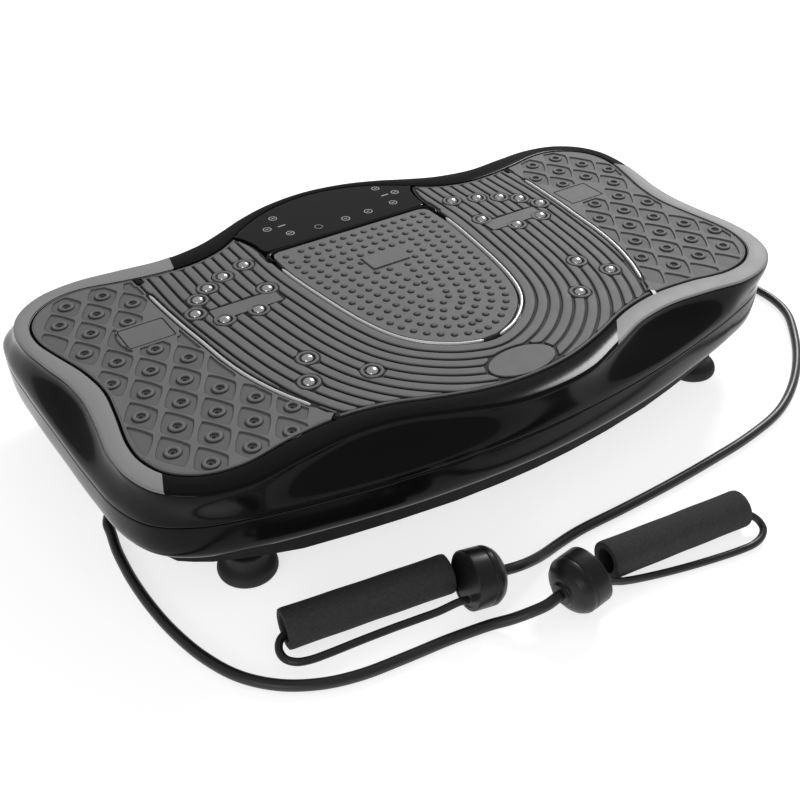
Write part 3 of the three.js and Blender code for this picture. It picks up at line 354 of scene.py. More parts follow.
def mat_rubber(name, light, painted_shade_colour):
    """Matt rubber whose colour sinks to a near-black where the mesh's painted shade is 1: painted shade in
    its grooves, hollows and round the feet of its bars.
    """
    sheen, grain = ((90,), 0.62, 0.8), ((1100, 3), 0.3, 0.25)
    material = surface(name, light, 0.7, specular=0.35, sheen=sheen, grain=grain)
    tree, shader = nodes_of(material)
    # Painted shade: the per-vertex shade value from the mesh mixes the rubber towards near-black.
    shade = add_node(tree, "Attribute", "Fac", {}, attribute_name="shade")
    mottle = spread(tree, noise(tree, 55, 4), 0.88, 1.1)
    inputs = {"Vector": mix(tree, shade, light, painted_shade_colour), "Scale": mottle}
    feed(tree, shader, {"Base Color": add_node(tree, "VectorMath", "Vector", inputs, operation="SCALE")})
    return material


def bright_plating(name, colour, roughness, metallic=1.0):
    wear = ((120, 4), roughness * 0.7, roughness * 1.6)
    return surface(name, colour, roughness, metallic, sheen=wear)


def grip_foam():
    """Closed-cell foam: fine open pores over a dull dark body."""
    low, high = (0.03, 0.03, 0.031), (0.064, 0.064, 0.066)
    material = surface("grip_foam", low, 0.95, specular=0.2, tint=((420, 4), low, high))
    tree, shader = nodes_of(material)
    place = add_node(tree, "TexCoord", "Object", {})
    pores = add_node(tree, "TexVoronoi", "Distance", {"Vector": place, "Scale": 750})
    feed(tree, shader, {"Normal": bump(tree, spread(tree, pores, 1.0, 0.0), 0.55, 0.45)})
    return material


def studio_white():
    material = surface("studio_white", grey(FLOOR_GREY), 0.8)
    glow = {"Emission Color": (1, 1, 1, 1), "Emission Strength": FLOOR_GLOW}
    feed(*nodes_of(material), glow)
    return material


LOOK = {
    "gloss": surface("gloss_black", (0.004, 0.004, 0.0043), 0.14, specular=0.1,
        sheen=((14,), 0.1, 0.2), grain=((26, 1.5), 0.08, 1.0)),
    "tray": surface("tray_black", (0.006, 0.006, 0.0062), 0.6, specular=0.2,
        tint=((35,), (0.004, 0.004, 0.0042), (0.009, 0.009, 0.0092)),
        sheen=((60,), 0.5, 0.72), grain=((1400, 2), 0.35, 0.25)),
    # The second grey of each rubber is its painted shade colour, for grooves and hollows.
    "mat": mat_rubber("mat_rubber", grey(0.17), grey(0.012)),
    "pad": mat_rubber("pad_rubber", grey(0.175), grey(0.02)),
    "silver": surface("silver_paint", (0.28, 0.28, 0.285), 0.55, specular=0.3,
        tint=((2600, 2), (0.25, 0.25, 0.255), (0.32, 0.32, 0.325)),
        sheen=((70,), 0.5, 0.62), grain=((1800, 2), 0.08, 0.1)),
    "trim": bright_plating("bright_trim", grey(0.72), 0.3, 0.35),
    "magnet": bright_plating("magnet_plating", grey(0.6), 0.22),
    "hook": bright_plating("hook_plating", (0.6, 0.6, 0.61), 0.25),
    "glass": surface("panel_glass", (0.008, 0.008, 0.0085), 0.1, specular=0.14,
        sheen=((18,), 0.07, 0.15)),
    "print": surface("printed_marks", (0.42, 0.42, 0.43), 0.5,
        tint=((500,), (0.34, 0.34, 0.35), (0.5, 0.5, 0.51))),
    "rubber": surface("plain_rubber", grey(0.016), 0.75, tint=((80,), grey(0.012), grey(0.024)),
        grain=((900, 3), 0.4, 0.3)),
    # Near-black, for the painted shadow in the gap round the mat.
    "gap_shade": surface("gap_shade_black", grey(0.003), 0.9, specular=0.05,
        tint=((120,), grey(0.002), grey(0.005))),
    "satin": surface("satin_black", (0.008, 0.008, 0.0085), 0.34, specular=0.32,
        sheen=((45,), 0.28, 0.42), grain=((900, 2), 0.15, 0.2)),
    "foam": grip_foam(),
    "cord": surface("band_cord", grey(0.012), 0.38, sheen=((60,), 0.3, 0.48),
        grain=((700, 2), 0.12, 0.2)),
    "steel": surface("machined_steel", (0.45, 0.46, 0.48), 0.35, 1.0, sheen=(BRUSHED, 0.25, 0.5),
        grain=(BRUSHED, 0.1, 0.1)),
    "alloy": surface("cast_alloy", (0.5, 0.51, 0.53), 0.5, 0.9, sheen=((90,), 0.4, 0.65),
        grain=((600, 3), 0.35, 0.3)),
    "board": surface("solder_mask", (0.015, 0.11, 0.045), 0.35,
        tint=((160,), (0.012, 0.09, 0.035), (0.02, 0.15, 0.06))),
}


# ---- Curves and outlines ----


def catmull_rom(points, closed=False, per_span=10):
    """A centripetal Catmull-Rom curve through the points, as an array."""
    p = np.asarray(points, float)
    s = np.linspace(0, 1, per_span, endpoint=False)[:, None]
    if closed:
        p = np.vstack([p[-1:], p, p[:2]])
    else:
        p = np.vstack([2 * p[0] - p[1], p, 2 * p[-1] - p[-2]])
    out = []
    for p0, p1, p2, p3 in zip(p, p[1:], p[2:], p[3:]):
        spans = (p1 - p0, p2 - p1, p3 - p2)
        d0, d1, d2 = (max(norm(span) ** 0.5, 1e-4) for span in spans)
        t1 = ((p1 - p0) / d0 - (p2 - p0) / (d0 + d1) + (p2 - p1) / d1) * d1
        t2 = ((p2 - p1) / d1 - (p3 - p1) / (d1 + d2) + (p3 - p2) / d2) * d1
        out.append(
            (2 * s**3 - 3 * s**2 + 1) * p1 + (s**3 - 2 * s**2 + s) * t1
            + (3 * s**2 - 2 * s**3) * p2 + (s**3 - s**2) * t2
        )
    if not closed:
        out.append(p[-2:-1])
    return np.vstack(out)


def circle(count):
    """That many points of the unit circle."""
    turns = np.linspace(0, 2 * math.pi, count, endpoint=False)
    return np.stack([np.cos(turns), np.sin(turns)], 1)


def heading(degrees):
    return np.array([math.cos(math.radians(degrees)), math.sin(math.radians(degrees))])


def left_of(direction):
    return np.array([-direction[1], direction[0]])


def mirrored(points):
    """The points' mirror images across x = 0, last first."""
    return [(-x, y) for x, y in points[::-1]]


def polar(points):
    return np.arctan2(points[:, 1], points[:, 0])


def spaced(line, step):
    """The open line resampled at about that step."""
    along = np.concatenate([[0], np.cumsum(norm(np.diff(line, axis=0), axis=1))])
    count = max(2, int(round(along[-1] / step)) + 1)
    wanted = np.linspace(0, along[-1], count)
    return np.stack([np.interp(wanted, along, line[:, k]) for k in range(line.shape[1])], 1)


def normals_of(line, closed=False):
    """Unit normals to the left of a flat line."""
    if closed:
        along = np.roll(line, -1, 0) - np.roll(line, 1, 0)
    else:
        along = np.gradient(line, axis=0)
    along = along / norm(along, axis=1, keepdims=True)
    return np.stack([-along[:, 1], along[:, 0]], 1)


def whole_outline(half):
    return catmull_rom(half + mirrored(half[1:-1]), closed=True, per_span=50)


def ring_directions():
    """Angles from the origin, closer together where the rim bends."""
    dense = whole_outline(RIM_HALF)
    step = np.roll(dense, -1, 0) - dense
    course = np.unwrap(polar(step))
    bend = np.abs(np.diff(course, append=course[0] + 2 * math.pi))
    reach = np.concatenate([[0], np.cumsum(norm(step, axis=1) + BEND_WEIGHT * bend)])
    wanted = np.linspace(0, reach[-1], RING, endpoint=False)
    return np.interp(wanted, reach[:-1], np.unwrap(polar(dense)))


DIRECTIONS = ring_directions()


def sampled(half):
    dense = whole_outline(half)
    radius = np.interp(DIRECTIONS, polar(dense), norm(dense, axis=1), period=2 * math.pi)
    return np.stack([radius * np.cos(DIRECTIONS), radius * np.sin(DIRECTIONS)], 1)


RIM, RECESS, SEAM = sampled(RIM_HALF), sampled(RECESS_HALF), sampled(SEAM_HALF)


def inset(outline, distance):
    return outline + normals_of(outline, closed=True) * distance


def at_height(points, height):
    return np.column_stack([points, np.full(len(points), height)])


def ring(outline, distance, height):
    return at_height(inset(outline, distance), height)


def rings_on(outline, places):
    """Rings of the outline, one for each inset and height."""
    return [ring(outline, distance, height) for distance, height in places]


def wall_ring(height, thickness):
    """A ring of the side wall, which goes over from the rim's outline to the seam's."""
    start, end = WALL_BLEND
    s = np.clip(((WALL_TOP - height) / (WALL_TOP - SEAM_Z) - start) / (end - start), 0, 1)
    share = s * s * (3 - 2 * s)
    return ring(RIM * (1 - share) + SEAM * share, thickness, height)


def within(outline):
    """A test of whether points are inside an outline that the origin sees all of."""
    angles, radii = polar(outline), norm(outline, axis=1)

    def test(points):
        reach = np.interp(np.arctan2(points[..., 1], points[..., 0]), angles, radii, period=2 * math.pi)
        return norm(points, axis=-1) < reach

    return test


# ---- Meshes ----


class Shape:
    """Vertices, faces and a painted shade value for each vertex, gathered from several bodies."""

    def __init__(self, *bodies):
        self.verts, self.faces, self.shades, self.count = [], [], [], 0
        for body in bodies:
            self.add(*body)

    def add(self, verts, faces, shade=None):
        verts = np.asarray(verts, float)
        self.verts.append(verts)
        self.faces.extend(tuple(int(i) + self.count for i in face) for face in faces)
        self.shades.append(np.zeros(len(verts)) if shade is None else np.asarray(shade, float))
        self.count += len(verts)

    def finish(self, name, look, body, node=None, sharp=38):
        mesh = bpy.data.meshes.new(name)
        mesh.from_pydata((np.vstack(self.verts) * MM).tolist(), [], self.faces)
        # Painted shade: stored on each vertex for the mat rubber to darken its colour by.
        shade = mesh.attributes.new("shade", "FLOAT", "POINT")
        shade.data.foreach_set("value", np.concatenate(self.shades).astype(np.float32))
        mesh.shade_smooth()
        mesh.set_sharp_from_angle(angle=math.radians(sharp))
        return place_piece(name, mesh, look, body, node)


def place_piece(name, data, look, body, node):
    """Makes a piece of a mesh or curve: its material and body, and the CAD node it replaces."""
    data.materials.append(LOOK[look])
    piece = new_object(name, data)
    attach(piece, body)
    if node:
        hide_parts(node)
    return piece


def loft_faces(rings, points, closed_section, closed_rings=True):
    faces = []
    around = points if closed_rings else points - 1
    for k in range(rings if closed_section else rings - 1):
        a, b = k * points, ((k + 1) % rings) * points
        faces.extend((a + i, a + (i + 1) % points, b + (i + 1) % points, b + i) for i in range(around))
    return faces


def hoop(rings):
    """A hollow band whose rings go once round its section."""
    return np.vstack(rings), loft_faces(len(rings), len(rings[0]), True)


def strip(rows):
    """A bar: its rows go once round its section, each from one end to the other."""
    n, m = len(rows), len(rows[0])
    faces = loft_faces(n, m, True, closed_rings=False)
    faces.append(tuple(k * m for k in range(n))[::-1])
    faces.append(tuple(k * m + m - 1 for k in range(n)))
    return np.vstack(rows), faces


def lathe(profile, start, segments, axis=(0, 0, 1)):
    """A turned body: the profile is (radius, distance along the axis); radius 0 ends are points."""
    turn = np.array(Vector((0, 0, 1)).rotation_difference(Vector(axis).normalized()).to_matrix())
    verts, faces, starts = [], [], []
    for radius, along in profile:
        starts.append((len(verts), radius > 0))
        spots = circle(segments) * radius if radius > 0 else [(0, 0)]
        verts.extend((x, y, along) for x, y in spots)
    for (a, a_ring), (b, b_ring) in zip(starts, starts[1:]):
        for i in range(segments):
            j = (i + 1) % segments
            if a_ring and b_ring:
                faces.append((a + i, a + j, b + j, b + i))
            elif b_ring:
                faces.append((a, b + j, b + i))
            elif a_ring:
                faces.append((a + i, a + j, b))
    return np.asarray(verts) @ turn.T + np.asarray(start, float), faces


def rounded(profile, radius):
    """The profile with its corners rounded, apart from its two ends."""
    points = [np.asarray(profile[0], float)]
    for before, here, after in zip(profile, profile[1:], profile[2:]):
        before, here, after = (np.asarray(p, float) for p in (before, here, after))
        into, out = before - here, after - here
        reach = min(radius, 0.45 * norm(into), 0.45 * norm(out))
        a = here + into / norm(into) * reach
        b = here + out / norm(out) * reach
        for s in np.linspace(0, 1, 4):
            points.append((1 - s) ** 2 * a + 2 * s * (1 - s) * here + s**2 * b)
    points.append(np.asarray(profile[-1], float))
    return [tuple(p) for p in points]


def add_spline(curve, points, closed):
    """A polyline in the curve through the points, which are in millimetres; flat ones lie at 0."""
    points = np.asarray(points, float) * MM
    places = np.zeros((len(points), 4))
    places[:, :points.shape[1]] = points
    places[:, 3] = 1
    spline = curve.splines.new("POLY")
    spline.points.add(len(points) - 1)
    spline.points.foreach_set("co", places.ravel())
    spline.use_cyclic_u = closed


def flat_mesh(outlines, low, high, edge=0.4, shade=0.0, edge_painted_shade=0.75):
    """A plate between two heights with rounded edges: the first outline less the others, with painted shade
    at a given level and more of it down its edges.
    """
    curve = bpy.data.curves.new("plate", "CURVE")
    curve.dimensions = "2D"
    curve.fill_mode = "BOTH"
    curve.bevel_depth = edge * MM
    curve.bevel_resolution = 1
    curve.extrude = ((high - low) / 2 - edge) * MM
    curve.offset = -edge * MM
    for outline in outlines:
        add_spline(curve, outline, closed=True)
    holder = new_object("plate", curve)
    graph = bpy.context.evaluated_depsgraph_get()
    made = bpy.data.meshes.new_from_object(holder.evaluated_get(graph))
    verts = np.zeros(len(made.vertices) * 3)
    made.vertices.foreach_get("co", verts)
    verts = verts.reshape(-1, 3) / MM
    verts[:, 2] += (low + high) / 2
    faces = [tuple(p.vertices) for p in made.polygons]
    bpy.data.objects.remove(holder)
    bpy.data.curves.remove(curve)
    bpy.data.meshes.remove(made)
    # Painted shade: darker down the rounded edges and sides, below the plate's top.
    down = np.clip((high - verts[:, 2]) / max(2 * edge, 0.8), 0, 1)
    return verts, faces, shade + edge_painted_shade * down * (down > 0.2)


def ridge(line, half_width, floor, height, halo=0.0, closed=False, lean=None):
    """A raised bar along a flat line, with painted shade at its foot that fades out over the halo."""
    side = normals_of(line, closed)
    left, right = lean if lean is not None else (np.full(len(line), half_width),) * 2
    slope = [  # rise, how far past the edge, painted shade; from under the floor to the top
        (-0.4, halo, 0.0), (0.02, halo, 0.0), (0.04, 0.0, 1.0),
        (height * 0.6, -0.15, 0.55), (height - 0.15, -0.6, 0.15), (height, -1.4, 0.0),
    ]
    section = [(right, 1, *step) for step in slope] + [(left, -1, *step) for step in slope[::-1]]
    rows, shades = [], []
    for reach, sign, rise, past, shade in section:
        place = line - side * (sign * (reach + past))[:, None]
        rows.append(at_height(place, floor + rise))
        shades.append(np.full(len(line), shade))
    verts, faces = hoop(rows) if closed else strip(rows)
    return verts, faces, np.concatenate(shades)


def lip(line, section, level, end_sizes, side=1):
    """A bar along the line, smaller at its last two points; side turns its faces the right way."""
    taper = np.ones(len(line))
    taper[[0, -1]], taper[[1, -2]] = end_sizes
    normal = normals_of(line)
    rows = [
        np.column_stack([line + normal * (across * taper)[:, None], level + rise * taper])
        for across, rise in section
    ]
    return strip(rows[::side])


# ---- Regions of the mat ----

INSIDE_MAT = within(inset(RECESS, MAT_GAP + 2.0))
TRIM_Y = np.array([y for _, y in LINE_HALF][::-1] + [150.0])
TRIM_X = np.array([x for x, _ in LINE_HALF][::-1] + [209.5])


def trim_x(y):
    """Where the side trim's line is at that y, run on straight beyond its ends."""
    beyond = np.minimum(np.asarray(y, float) - TRIM_Y[0], 0) * 0.42
    return np.interp(y, TRIM_Y, TRIM_X) + beyond


def trim_gap(y):
    """How far the mat's zones stay from that line: less where there is no trim."""
    return np.interp(y, [-121, -119, 97, 99], [NO_TRIM_GAP, TRIM_GAP, TRIM_GAP, NO_TRIM_GAP])


def folded(points):
    """The points with those on the left moved to the right."""
    return np.stack([np.abs(points[..., 0]), points[..., 1]], -1)


def in_box(points, box, margin):
    x0, y0, x1, y1 = grown(box, margin)
    x, y = folded(points).T
    return ((x > x0) & (x < x1) & (y > y0) & (y < y1)).T


def near_magnet(points, radius):
    gaps = [norm(folded(points) - np.array(spot), axis=-1) for spot in MAGNETS]
    return np.min(gaps, 0) < radius


def in_oval(points, margin):
    away = (points - np.array(OVAL["middle"])) / (np.array(OVAL["radii"]) + margin)
    return np.sum(away**2, -1) < 1


def from_tab(points, tab):
    """How far the points lie along and across a rim tab, from its root."""
    x, y, degrees = tab
    away = folded(points) - np.array([x, y])
    return away @ heading(degrees), away @ left_of(heading(degrees))


def near_tab(points, margin):
    hit = np.zeros(points.shape[:-1], bool)
    for tab in TAB_SPOTS:
        along, across = from_tab(points, tab)
        hit |= (along > TAB_FROM) & (along < TAB_TO + margin) & (np.abs(across) < TAB_SIDE + margin)
    return hit


def panel_x(y):
    """The panel's side edge, and below it the gasket's end."""
    return np.interp(y, *PANEL_EDGE)


def rib_zone(points):
    x, y = np.abs(points[..., 0]), points[..., 1]
    zone = INSIDE_MAT(points) & (x < trim_x(y) - trim_gap(y)) & ~near_magnet(points, 10.0)
    zone &= ~in_box(points, RIB_PLATE, 1.2) & ~in_oval(points, 2.2) & ~near_tab(points, 0.8)
    return zone & ((y < 86) | (x > panel_x(y) + 2.5))


def end_zone(points, margin=0.0):
    x, y = np.abs(points[..., 0]), points[..., 1]
    zone = within(inset(RECESS, MAT_GAP + 2.4 + margin))(points)
    zone &= x > trim_x(y) + trim_gap(y) + 1.6 + margin
    return zone & ~near_tab(points, 2.6) & ~in_box(points, END_PLATE, 3.6 + margin)


# ---- Shells ----


def rim_edge():
    """Insets and rises of the rim's rounded outer edge, from upright to level."""
    turns = np.linspace(0, math.pi / 2, 6)
    return [(RIM_ROUND * (1 - math.cos(t)), (RIM_TOP - WALL_TOP) * math.sin(t)) for t in turns]


def top_cover():
    foot, ledge_low, rim_low = SEAM_Z + SEAM_GAP, LEDGE_TOP - LEDGE_T, RIM_TOP - RIM_T
    rings = rings_on(SEAM, [(0.9, foot), (0.25, foot + 0.35)])
    rings += [wall_ring(z, 0) for z in np.linspace(SEAM_Z + 1.4, WALL_TOP, 26)]
    rings += rings_on(RIM, [(move, WALL_TOP + rise) for move, rise in rim_edge()[1:]])
    rings += rings_on(RECESS, [(-0.4, RIM_TOP), (-0.1, RIM_TOP - 0.1), (0, RIM_TOP - 0.4), (0, LEDGE_TOP)])
    rings += rings_on(RECESS, [(LEDGE_WIDTH, LEDGE_TOP), (LEDGE_WIDTH, ledge_low)])
    rings += rings_on(RECESS, [(-2.4, ledge_low), (-2.4, rim_low)])
    rings.append(ring(RIM, 3.4, rim_low))
    rings += [wall_ring(z, WALL_T) for z in np.linspace(112, SEAM_Z + 2, 12)]
    rings.append(ring(SEAM, WALL_T, foot))
    tabs = [rim_tab(side * x, y, degrees if side > 0 else 180 - degrees)
            for x, y, degrees in TAB_SPOTS for side in (1, -1)]
    Shape(hoop(rings), *tabs).finish("top_shell", "gloss", "deck", "top_cover")


def rim_tab(x, y, degrees):
    """A short tongue of the rim that keys into the mat."""
    along = heading(degrees)
    aside = left_of(along) * TAB_R
    root = np.array([x, y])
    turns = np.linspace(0, math.pi, 9)
    tip = [root + along * (TAB_REACH + TAB_R * math.sin(t)) + aside * math.cos(t) for t in turns]
    outline = [root - along * 3 + aside, *tip, root - along * 3 - aside]
    return flat_mesh([outline[::-1]], LEDGE_TOP, RIM_TOP - 0.1, 0.5)


def silver_plate(name):
    """A satin plate over the rim's top and outer edge, between two slanting ends."""
    spans = BAND_DEGREES[name]
    tops = [(RECESS, 0.1, RIM_TOP - 1.2), (RECESS, -0.2, RIM_TOP), (RECESS, -0.9, RIM_TOP + PLATE_PROUD)]
    tops += [(RIM, move - 0.2, WALL_TOP + rise + PLATE_PROUD) for move, rise in rim_edge()[:1:-1]]
    shares = [0, 0.02, 0.06, 0.88, 0.92, 0.96, 1.0]  # of the way from the inner edge to the outer
    backs = [(outline, distance + 0.6, z - 0.9) for outline, distance, z in tops[::-1]]
    rows = []
    for (outline, distance, z), share in zip(tops + backs, shares + shares[::-1]):
        start, end = ((1 - share) * spans["inner"][i] + share * spans["outer"][i] for i in (0, 1))
        angles = np.radians(np.linspace(start, end, 150))
        line = inset(outline, distance)
        place = [np.interp(angles, DIRECTIONS, line[:, c], period=2 * math.pi) for c in (0, 1)]
        rows.append(at_height(np.transpose(place), z))
    shape = Shape(strip(rows))
    shape.finish("silver_plate_" + name, "silver", "deck", "rim_band_" + name, sharp=30)


def lower_skirt():
    low, top = SKIRT_BOTTOM, SEAM_Z - SEAM_GAP
    turn = [(SKIRT_FOOT, 0), (8, 0.5), (4.6, 2.6), (2.2, 6.2), (0.9, 11), (0.2, 18), (0, 26)]
    section = [(move, low + rise) for move, rise in catmull_rom(turn, per_span=5)]
    section += [(0, z) for z in np.linspace(low + 28, top - 0.7, 5)]
    section += [(0.2, top - 0.2), (0.7, top), (WALL_T + 0.5, top), (WALL_T + 0.5, top + 3)]
    section += [(WALL_T + 2.2, top + 3), (4, low + 14), (7, low + 6.5), (SKIRT_FOOT, low + 2.6)]
    shape = Shape(hoop(rings_on(SEAM, section)))
    shape.finish("skirt_shell", "gloss", "deck", "lower_skirt")


# ---- Mat ----


def u_line():
    """The line that the ribs run beside: down the pad's right side, round its tip and up again."""
    right = catmull_rom([(90.5, 152), (90.5, 112)] + ARC_HALF + [(0, -120.6)], per_span=12)
    return spaced(np.vstack([right, mirrored(right[:-1])]), LINE_STEP)


def arc_edge(distance):
    """The pad's right edge line moved outwards by that much, from far to near."""
    side = spaced(catmull_rom(ARC_HALF), 4)
    return side + normals_of(side) * distance


def mat_outline():
    edge = inset(RECESS, MAT_GAP)
    far_y = 150.5
    keep = edge[(edge[:, 1] < far_y) | (np.abs(edge[:, 0]) > 110)]
    keep = keep[np.argsort((polar(keep) - math.pi / 2) % (2 * math.pi))]
    pad = arc_edge(2.6)
    right = [(104.5, far_y + 0.5), (98, 141), (93.5, 125), (92.5, 110), (93, 88), (pad[0][0], 84)]
    right += [tuple(p) for p in pad]
    return [tuple(p) for p in keep] + right + mirrored(right)


def pad_outline():
    right = [(78, 102.5), (84, 100.5), (86.6, 95)] + [tuple(p) for p in arc_edge(-3.4)]
    return np.array(right + mirrored(right))


def runs(inside):
    """The stretches of four or more of a line's points that are inside, as index arrays."""
    edges = np.flatnonzero(np.diff(np.concatenate([[0], inside.astype(int), [0]])))
    return [np.arange(a, b) for a, b in zip(edges[::2], edges[1::2]) if b - a >= 4]


def smoothed(values):
    if len(values) < 5:
        return values
    padded = np.concatenate([values[:1], values, values[-1:]])
    return np.minimum(values, (padded[:-2] + padded[1:-1] + padded[2:]) / 3)


def add_rib(shape, line, half_width):
    """A rib along the line, as wide at each point as the rib zone leaves it."""
    offsets = np.linspace(-half_width, half_width, 17)
    spots = line[:, None, :] + normals_of(line)[:, None, :] * offsets[None, :, None]
    open_spots = rib_zone(spots)
    left = np.where(open_spots, offsets, -half_width).max(1)
    right = -np.where(open_spots, offsets, half_width).min(1)
    for rows in runs(open_spots.sum(1) > 4):
        lean = (smoothed(left[rows]), smoothed(right[rows]))
        shape.add(*ridge(line[rows], half_width, BED_TOP, RIB_HEIGHT, lean=lean))


def mat_gap_shadow():
    """A dull black strip in the gap between the mat and the rim, as painted shadow in that gap."""
    low, top, width = LEDGE_TOP + 0.1, RIM_TOP - 1.0, MAT_GAP + 0.3
    shape = Shape(hoop(rings_on(RECESS, [(0.1, low), (0.1, top), (width, top - 0.6), (width, low)])))
    shape.finish("mat_gap_shadow", "gap_shade", "deck")


def mat_ribs():
    base = u_line()
    outward = normals_of(base) * (1 if normals_of(base)[0][0] > 0 else -1)
    shape = Shape()
    starts = [2.6] + [FIRST_GROOVE + GROOVE_W / 2 + k * RIB_PITCH for k in range(RIB_COUNT)]
    ends = [FIRST_GROOVE - GROOVE_W / 2 + k * RIB_PITCH for k in range(RIB_COUNT + 1)]
    for start, end in zip(starts, ends):
        line = base + outward * (start + end) / 2
        add_rib(shape, line[::-1], (end - start) / 2)
    shape.finish("mat_ribs", "mat", "deck")


def mat_border():
    """The plain lip round the mat, broken by the panel and by the rim's tabs."""
    edge = inset(RECESS, MAT_GAP + BORDER_W / 2)
    start = int(np.argmin(np.abs(DIRECTIONS - DIRECTIONS[0] - math.pi)))
    edge = spaced(np.vstack([np.roll(edge, -start, 0), edge[start]]), LINE_STEP)
    off_panel = (edge[:, 1] < 100) | (np.abs(edge[:, 0]) > panel_x(edge[:, 1]) + 1.5)
    shape = Shape()
    for rows in runs(off_panel & ~near_tab(edge, 0.8)):
        shape.add(*ridge(edge[rows][::-1], BORDER_W / 2, BED_TOP, RIB_HEIGHT))
    shape.finish("mat_border", "mat", "deck")


def eye_spots(side):
    """The middles of the diamonds on the right (1) or left (-1), with those cut by the zone's edge."""
    (x, y), step, drift = (EYE_ROWS[side][key] for key in ("start", "step", "drift"))
    spots = []
    for row in range(-1, 12):
        first = x + drift * row - (EYE_PITCH / 2 if row % 2 else 0)
        for column in range(-3, 5):
            spots.append(np.array([side * (first + column * EYE_PITCH), y - row * step]))
    return spots


def mat_rings():
    """The washers round the magnets and the rings in the diamonds, each with a dot in it painted at full
    shade; the washers' and rings' feet get painted shade.
    """
    shape = Shape()
    around = circle(28)
    for x, y in MAGNETS:
        for side in (1, -1):
            line = np.array([side * x, y]) + around * WASHER_R
            shape.add(*ridge(line, 1.7, BED_TOP, RIB_HEIGHT + 0.5, 0.5, closed=True))
    for middle in eye_spots(-1) + eye_spots(1):
        if end_zone(middle + around * 5.6, -1.9).all():
            shape.add(*ridge(middle + around * EYE_R, 1.75, CELL_FLOOR, 1.6, 0.9, closed=True))
            verts, faces = lathe([(1.9, 0.0), (1.5, 0.3), (0, 0.5)], (*middle, CELL_FLOOR), 10)
            # Painted shade: the dot is fully dark, standing in for the shade of a small hole.
            shape.add(verts, faces, np.ones(len(verts)))
    shape.finish("mat_rings", "mat", "deck")


def diamond(middle):
    """A diamond with bulging sides, cut to the end zone; None if little of it is left."""
    around = circle(72)
    reach = np.sum(np.abs(around / np.array(DIAMOND)) ** DIAMOND_BULGE, 1) ** (-1 / DIAMOND_BULGE)
    edge = around * reach[:, None]
    filling = middle + (edge[:, None, :] * np.linspace(0.1, 1, 10)[None, :, None]).reshape(-1, 2)
    kept = filling[end_zone(filling)]
    if len(kept) < 0.22 * len(filling):
        return None
    hub = kept.mean(0)
    spots = []
    for target in middle + edge:
        tries = hub + (target - hub) * np.linspace(1, 0.04, 40)[:, None]
        spots.append(tuple(tries[np.flatnonzero(end_zone(tries))[0]]))
    return spots


def end_outline(side, margin):
    """The end zone's outline on the right (1) or left (-1)."""
    edge = inset(RECESS, MAT_GAP + margin)
    edge = edge[edge[:, 0] > trim_x(edge[:, 1]) + trim_gap(edge[:, 1]) + margin]
    edge = edge[np.argsort(polar(edge))]
    ys = np.linspace(edge[-1][1], edge[0][1], 60)[1:-1]
    line = np.stack([trim_x(ys) + trim_gap(ys) + margin, ys], 1)
    points = drawn_in_at_tabs(np.vstack([edge, line])) * np.array([side, 1])
    return points[::side]


def drawn_in_at_tabs(points):
    """Moves points that touch a rim tab away from the middle of the tab."""
    moved, clear = points.copy(), TAB_SIDE + 0.8
    for tab in TAB_SPOTS:
        along, across = from_tab(points, tab)
        hit = (along > TAB_FROM) & (along < TAB_TO + 1.0) & (np.abs(across) < clear)
        push = (clear * np.sign(across) - across) * hit
        moved += push[:, None] * left_of(heading(tab[2]))
    return moved


def mat_ends(name, side):
    """An end zone: a net with diamond holes over a lower floor, and a blank label plate; painted shade on
    the floor and down the net's and plate's edges.
    """
    holes = [hole for hole in map(diamond, eye_spots(side)) if hole]
    holes.append(box_outline(grown(END_PLATE, 1.1), side))
    shape = Shape(
        # Painted shade: the floor a little darker all over, the net and plate darker down their edges.
        flat_mesh([end_outline(side, 0.6)], MAT_BOTTOM + 2, CELL_FLOOR, 0.2, 0.2, 0.0),
        flat_mesh([end_outline(side, 0.0), *holes], MAT_BOTTOM + 1, MAT_TOP, 0.5),
        flat_mesh([box_outline(END_PLATE, side)], MAT_BOTTOM + 1, MAT_TOP - 0.1),
    )
    shape.finish("mat_net_" + name, "mat", "deck")


def grown(box, margin):
    x0, y0, x1, y1 = box
    return (x0 - margin, y0 - margin, x1 + margin, y1 + margin)


def box_outline(box, side=1):
    x0, y0, x1, y1 = grown(box, -LABEL_CORNER)
    points = []
    for x, y, start in ((x1, y0, -90), (x1, y1, 0), (x0, y1, 90), (x0, y0, 180)):
        for degrees in np.linspace(start, start + 90, 5):
            points.append((np.array([x, y]) + LABEL_CORNER * heading(degrees)) * (side, 1))
    return points[::side]


def mat_plates():
    """The smooth places among the ribs: blank label plates and the oval near the front edge."""
    plates = [flat_mesh([box_outline(RIB_PLATE, side)], BED_TOP - 1, MAT_TOP - 0.2) for side in (1, -1)]
    oval = np.array(OVAL["middle"]) + circle(48) * OVAL["radii"]
    shape = Shape(*plates, flat_mesh([oval], BED_TOP - 1, MAT_TOP, 0.5))
    shape.finish("mat_plates", "mat", "deck")


def mat_sheet():
    # Painted shade: the whole sheet is at full shade, so the groove floors between the ribs show
    # near-black.
    shape = Shape(flat_mesh([mat_outline()], MAT_BOTTOM, BED_TOP, 0.3, 1.0, 0.0))
    shape.finish("mat_sheet", "mat", "deck", "foot_mat")


def inward_row(outline, distance):
    """The outline moved inwards, without the parts that would come too near it again."""
    edge = spaced(np.vstack([outline, outline[:1]]), 1.0)[:-1]
    ahead = np.roll(edge, -1, 0)
    turn = np.sign(np.sum(edge[:, 0] * ahead[:, 1] - edge[:, 1] * ahead[:, 0]))
    moved = edge + normals_of(edge, closed=True) * turn * distance
    return moved[[clear_of(outline, spot, distance - 0.4) for spot in moved]]


